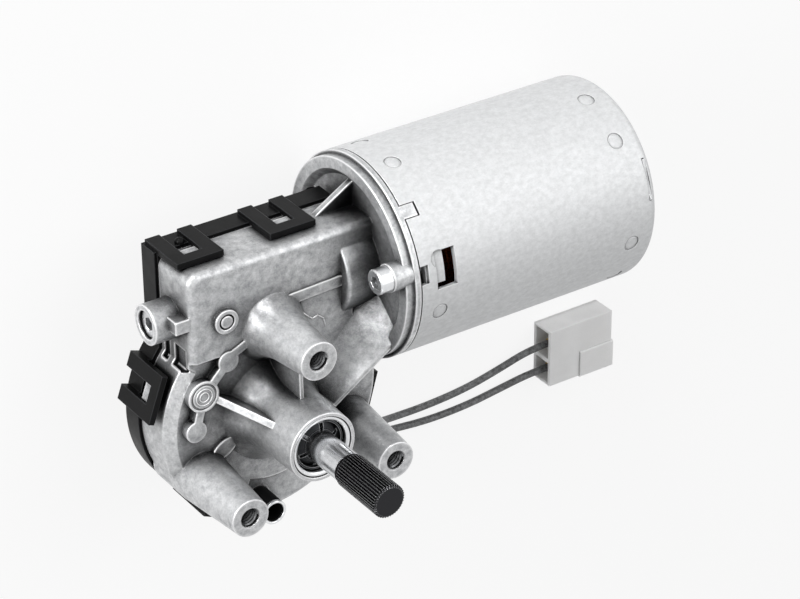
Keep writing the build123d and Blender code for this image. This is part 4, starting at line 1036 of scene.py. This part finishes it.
@dataclass
class FaceMarks:
    """Fine raised lines of the casting's front: rings on the disc and the outline of a tool insert.

    Attributes:
        disc_mm: Centre of the disc.
        disc_face_mm: Height of the disc's face.
        rings_mm: Radii of the rings.
        face_mm: Height of the front face.
        outline_mm: Corners of the insert's outline.
        line_mm: Width of a line at its foot.
        rise_mm: Height of a line.
        ring_steps: Steps round a ring.
    """

    disc_mm: tuple[float, float] = (-28.2, 15.5)
    disc_face_mm: float = -26.9
    rings_mm: tuple[float, ...] = (3.0, 1.7)
    face_mm: float = -27.7
    outline_mm: tuple[tuple[float, float], ...] = (
        (8.6, 38.2),
        (9.4, 35.6),
        (13.2, 31.8),
        (14.6, 30.6),
        (16.7, 31.2),
        (18.9, 29.4),
        (19.6, 26.4),
    )
    line_mm: float = 0.5
    rise_mm: float = 0.25
    ring_steps: int = 64

    def build(self, material: bpy.types.Material) -> None:
        """Lay the rings and the outline.

        Args:
            material: The casting's material.
        """
        bm = bmesh.new()
        for radius in self.rings_mm:
            self.ring(bm, radius)
        bmesh.ops.recalc_face_normals(bm, faces=bm.faces)
        piece_from(bm, "disc_rings", material)
        bm = bmesh.new()
        for start, end in zip(self.outline_mm, self.outline_mm[1:]):
            self.line(bm, Vector(start), Vector(end))
        bmesh.ops.recalc_face_normals(bm, faces=bm.faces)
        piece_from(bm, "insert_outline", material)

    def ring(self, bm: bmesh.types.BMesh, radius: float) -> None:
        """Turn one ring about the disc's centre.

        Args:
            bm: The bmesh that takes the ring.
            radius: The ring's middle radius in mm.
        """
        centre = Vector((*self.disc_mm, 0))
        half = self.line_mm / 2
        sink = self.disc_face_mm - self.rise_mm
        profile = (
            (radius - half, sink),
            (radius - half / 2, self.disc_face_mm + self.rise_mm),
            (radius + half / 2, self.disc_face_mm + self.rise_mm),
            (radius + half, sink),
        )
        corners = [centre + Vector((reach, 0, height)) for reach, height in profile]
        verts = [bm.verts.new(corner * MM) for corner in corners]
        edges = [bm.edges.new((verts[n], verts[n - 1])) for n in range(len(verts))]
        bmesh.ops.spin(
            bm,
            geom=[*verts, *edges],
            cent=centre * MM,
            axis=(0, 0, 1),
            angle=2 * pi,
            steps=self.ring_steps,
            use_merge=True,
        )

    def line(self, bm: bmesh.types.BMesh, start: Vector, end: Vector) -> None:
        """Lay one straight line with a bevelled top.

        Args:
            bm: The bmesh that takes the line.
            start: One end in mm.
            end: The other end in mm.
        """
        run = end - start
        middle = (start + end) / 2
        turn = Matrix.Rotation(run.angle_signed(Vector((1, 0))), 4, "Z")
        place = Matrix.Translation(Vector((*middle, self.face_mm)) * MM) @ turn
        size = Vector((run.length + self.line_mm, self.line_mm, 2 * self.rise_mm)) * MM
        bar = bmesh.ops.create_cube(bm, size=1.0, matrix=place @ Matrix.Diagonal(size).to_4x4())
        edges = dict.fromkeys(edge for corner in bar["verts"] for edge in corner.link_edges)
        face = self.face_mm * MM
        bmesh.ops.bevel(
            bm,
            geom=[edge for edge in edges if min(vert.co.z for vert in edge.verts) > face],
            offset=self.rise_mm / 2 * MM,
            affect="EDGES",
            segments=2,
            profile=0.5,
            material=-1,
        )


@dataclass
class CoverBump:
    """Round bump on the cover's upper edge, behind the left clip.

    Attributes:
        place_mm: Middle of its foot.
        radius_mm: Its radius.
    """

    place_mm: tuple[float, float, float] = (-22.3, 61.6, -48.8)
    radius_mm: float = 1.7

    def build(self, material: bpy.types.Material) -> None:
        """Make the bump.

        Args:
            material: The cover's material.
        """
        bm = bmesh.new()
        bmesh.ops.create_uvsphere(
            bm,
            u_segments=32,
            v_segments=16,
            radius=self.radius_mm * MM,
            matrix=Matrix.Translation(Vector(self.place_mm) * MM),
        )
        piece_from(bm, "cover_bump", material)


@dataclass(frozen=True)
class Lead:
    """One insulated lead.

    Attributes:
        node: The solid that it stands for.
        length_mm: Its length from the grommet's face to the terminal.
        route_mm: Control points of its smooth line, the same as in the solid.
    """

    node: str
    length_mm: float
    route_mm: tuple[tuple[float, float, float], ...]


@dataclass
class Wiring:
    """The leads, each a free cord from the grommet to its terminal in the plug.

    Attributes:
        leads: The leads.
        diameter_mm: Diameter over the insulation.
    """

    leads: tuple[Lead, ...]
    diameter_mm: float = 2.7

    def build(self, material: bpy.types.Material) -> None:
        """Lay the leads.

        Args:
            material: The insulation's material.
        """
        for lead in self.leads:
            name, length_mm, route_mm = lead.node, lead.length_mm, lead.route_mm
            curve = bpy.data.curves.new(f"{name}_cord", "CURVE")
            curve.dimensions = "3D"
            curve.bevel_depth = self.diameter_mm * MM / 2
            curve.bevel_resolution = 6
            curve.resolution_u = 16
            curve.use_fill_caps = True
            spline = curve.splines.new("NURBS")
            spline.points.add(len(route_mm) - 1)
            for point, place in zip(spline.points, route_mm):
                point.co = (*(v * MM for v in place), 1.0)
            spline.order_u = 3
            spline.use_endpoint_u = True
            cord = bpy.data.objects.new(f"{name}_cord", curve)
            bpy.context.scene.collection.objects.link(cord)
            dress(cord, material)
            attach(cord, GEARBOX)
            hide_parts(name)
            LOG.info("%s laid, %.1f mm", name, length_mm)


@dataclass(frozen=True)
class Lamp:
    """One soft square lamp that looks at the studio's target.

    Attributes:
        name: The lamp's name.
        toward: Its direction from the target, as the picture's right, up and back.
        size: Length of its side.
        watts: Its power.
        distance: Its distance from the target.
    """

    name: str
    toward: tuple[float, float, float]
    size: float
    watts: float
    distance: float = 1.0


@dataclass
class Studio:
    """Pale floor, soft lamps and the camera at the photograph's viewing angle.

    Attributes:
        right: The picture's right in the object's frame.
        up: The picture's up.
        back: From the object towards the camera.
        place_mm: The camera's place.
        lens_mm: Focal length on a 36 mm sensor.
        floor_z: Height of the floor.
        floor_half: Half the length of the floor's side.
        floor_colour: Colour of the paper on the floor.
        floor_glow: Share of plain white in the floor that the camera and gloss see.
        surround: Strength of the world's light on the object.
        target_mm: The point that the lamps look at.
        lamps: The lamps, whose middles all stand above the floor.
    """

    right: tuple[float, float, float] = (0.82612, -0.00661, 0.56346)
    up: tuple[float, float, float] = (0.28857, 0.86382, -0.41296)
    back: tuple[float, float, float] = (-0.48400, 0.50375, 0.71553)
    place_mm: tuple[float, float, float] = (-446.08, 541.98, 705.13)
    lens_mm: float = 136.9
    floor_z: float = CAD_BOX[0][2]
    floor_half: float = 3.0
    floor_colour: str = "#f4f4f4"
    floor_glow: float = 0.85
    surround: float = 0.33
    target_mm: tuple[float, float, float] = (55.0, 20.0, -35.0)
    lamps: tuple[Lamp, ...] = (
        Lamp("key", (-0.19, 0.68, 0.71), size=0.2, watts=5.0),
        Lamp("front", (-0.75, 0.0, 0.75), size=0.5, watts=11.0),
        Lamp("side", (0.95, 0.3, 0.55), size=0.9, watts=4.0),
    )

    def build(self) -> None:
        """Set the camera, the floor, the lamps and the world."""
        self.camera()
        self.floor()
        for lamp in self.lamps:
            self.light(lamp)
        self.world()
        bpy.context.scene.view_settings.view_transform = "Standard"

    def camera(self) -> None:
        """Place the camera."""
        data = bpy.data.cameras.new("camera")
        data.lens = self.lens_mm
        data.sensor_width = 36.0
        data.clip_start = 0.05
        camera = bpy.data.objects.new("camera", data)
        turn = Matrix((self.right, self.up, self.back)).transposed()
        camera.matrix_world = Matrix.Translation(Vector(self.place_mm) * MM) @ turn.to_4x4()
        bpy.context.scene.collection.objects.link(camera)
        bpy.context.scene.camera = camera

    def light(self, lamp: Lamp) -> None:
        """Place one lamp.

        Args:
            lamp: The lamp to place.
        """
        data = bpy.data.lights.new(lamp.name, "AREA")
        data.size = lamp.size
        data.energy = lamp.watts
        turn = Matrix((self.right, self.up, self.back)).transposed()
        out = (turn @ Vector(lamp.toward)).normalized()
        placed = bpy.data.objects.new(lamp.name, data)
        placed.location = Vector(self.target_mm) * MM + out * lamp.distance
        placed.rotation_euler = out.to_track_quat("Z", "Y").to_euler()
        bpy.context.scene.collection.objects.link(placed)

    def floor(self) -> None:
        """Lay the pale floor that the object stands on."""
        bm = bmesh.new()
        bmesh.ops.create_grid(bm, x_segments=1, y_segments=1, size=self.floor_half)
        bmesh.ops.translate(bm, verts=bm.verts, vec=(0, 0, self.floor_z))
        mesh = bpy.data.meshes.new("floor")
        bm.to_mesh(mesh)
        bm.free()
        floor = bpy.data.objects.new("floor", mesh)
        bpy.context.scene.collection.objects.link(floor)
        material = bpy.data.materials.new("matt_white_backdrop_paper")
        material.use_nodes = True
        tree = material.node_tree
        paper = tree.nodes["Principled BSDF"]
        paper.inputs["Base Color"].default_value = linear(self.floor_colour)
        paper.inputs["Roughness"].default_value = 0.9
        paper.inputs["Specular IOR Level"].default_value = 0.1
        glow = add_node(
            tree, "Emission", values={"Color": WHITE, "Strength": 1.0}
        ).outputs["Emission"]
        share = add_node(
            tree,
            "Math",
            values={1: self.floor_glow},
            links={0: sees_white(tree)},
            operation="MULTIPLY",
        ).outputs["Value"]
        mixed = add_node(
            tree, "MixShader", links={"Fac": share, 1: paper.outputs["BSDF"], 2: glow}
        ).outputs["Shader"]
        tree.links.new(mixed, tree.nodes["Material Output"].inputs["Surface"])
        dress(floor, material)

    def world(self) -> None:
        """Set a soft surround that is plain white to the camera and in gloss."""
        world = bpy.data.worlds.new("studio")
        world.use_nodes = True
        bpy.context.scene.world = world
        tree = world.node_tree
        surround = tree.nodes["Background"]
        surround.inputs["Color"].default_value = WHITE
        surround.inputs["Strength"].default_value = self.surround
        white = add_node(
            tree, "Background", values={"Color": WHITE, "Strength": 1.0}
        ).outputs["Background"]
        mixed = add_node(
            tree,
            "MixShader",
            links={"Fac": sees_white(tree), 1: surround.outputs["Background"], 2: white},
        ).outputs["Shader"]
        tree.links.new(mixed, tree.nodes["World Output"].inputs["Surface"])


LEADS = (
    Lead(
        "lead_1",
        125.4,
        (
            (38.737, -25.795, -52.0),
            (46.018, -31.085, -52.0),
            (56.5, -41.9, -58.6),
            (65.5, -49.9, -67.6),
            (76.0, -55.6, -74.6),
            (92.0, -56.0, -74.6),
            (110.0, -54.9, -74.6),
            (125.0, -51.9, -74.6),
            (136.8, -45.6, -71.0),
            (145.8, -45.6, -71.0),
        ),
    ),
    Lead(
        "lead_2",
        127.4,
        (
            (36.503, -28.869, -52.0),
            (43.784, -34.159, -52.0),
            (54.0, -45.9, -58.9),
            (63.5, -54.3, -67.8),
            (76.0, -60.5, -74.6),
            (93.0, -62.5, -74.6),
            (111.0, -62.3, -74.6),
            (125.0, -60.6, -74.6),
            (136.8, -56.0, -71.0),
            (145.8, -56.0, -71.0),
        ),
    ),
)


def main() -> None:
    """Dress the frame, add the fine pieces and set the studio."""
    logging.basicConfig(level=logging.INFO, format="%(message)s")
    materials = {finish: finish.material() for finish in CAD_FINISHES}
    for finish, nodes in CAD_FINISHES.items():
        for node in nodes:
            dress(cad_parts[node], materials[finish])
        LOG.info("%s on %d nodes", finish.name, len(nodes))
    OutputShaft().build(materials[SHAFT_STEEL])
    CanStakes().build(materials[ZINC_PLATE])
    BossThreads().build(TAPPED_BORE.material())
    FaceMarks().build(materials[DIE_CAST])
    CoverBump().build(materials[BLACK_POLYESTER])
    Wiring(leads=LEADS).build(GREY_PVC.material())
    Studio().build()


if __name__ == "__main__":
    main()
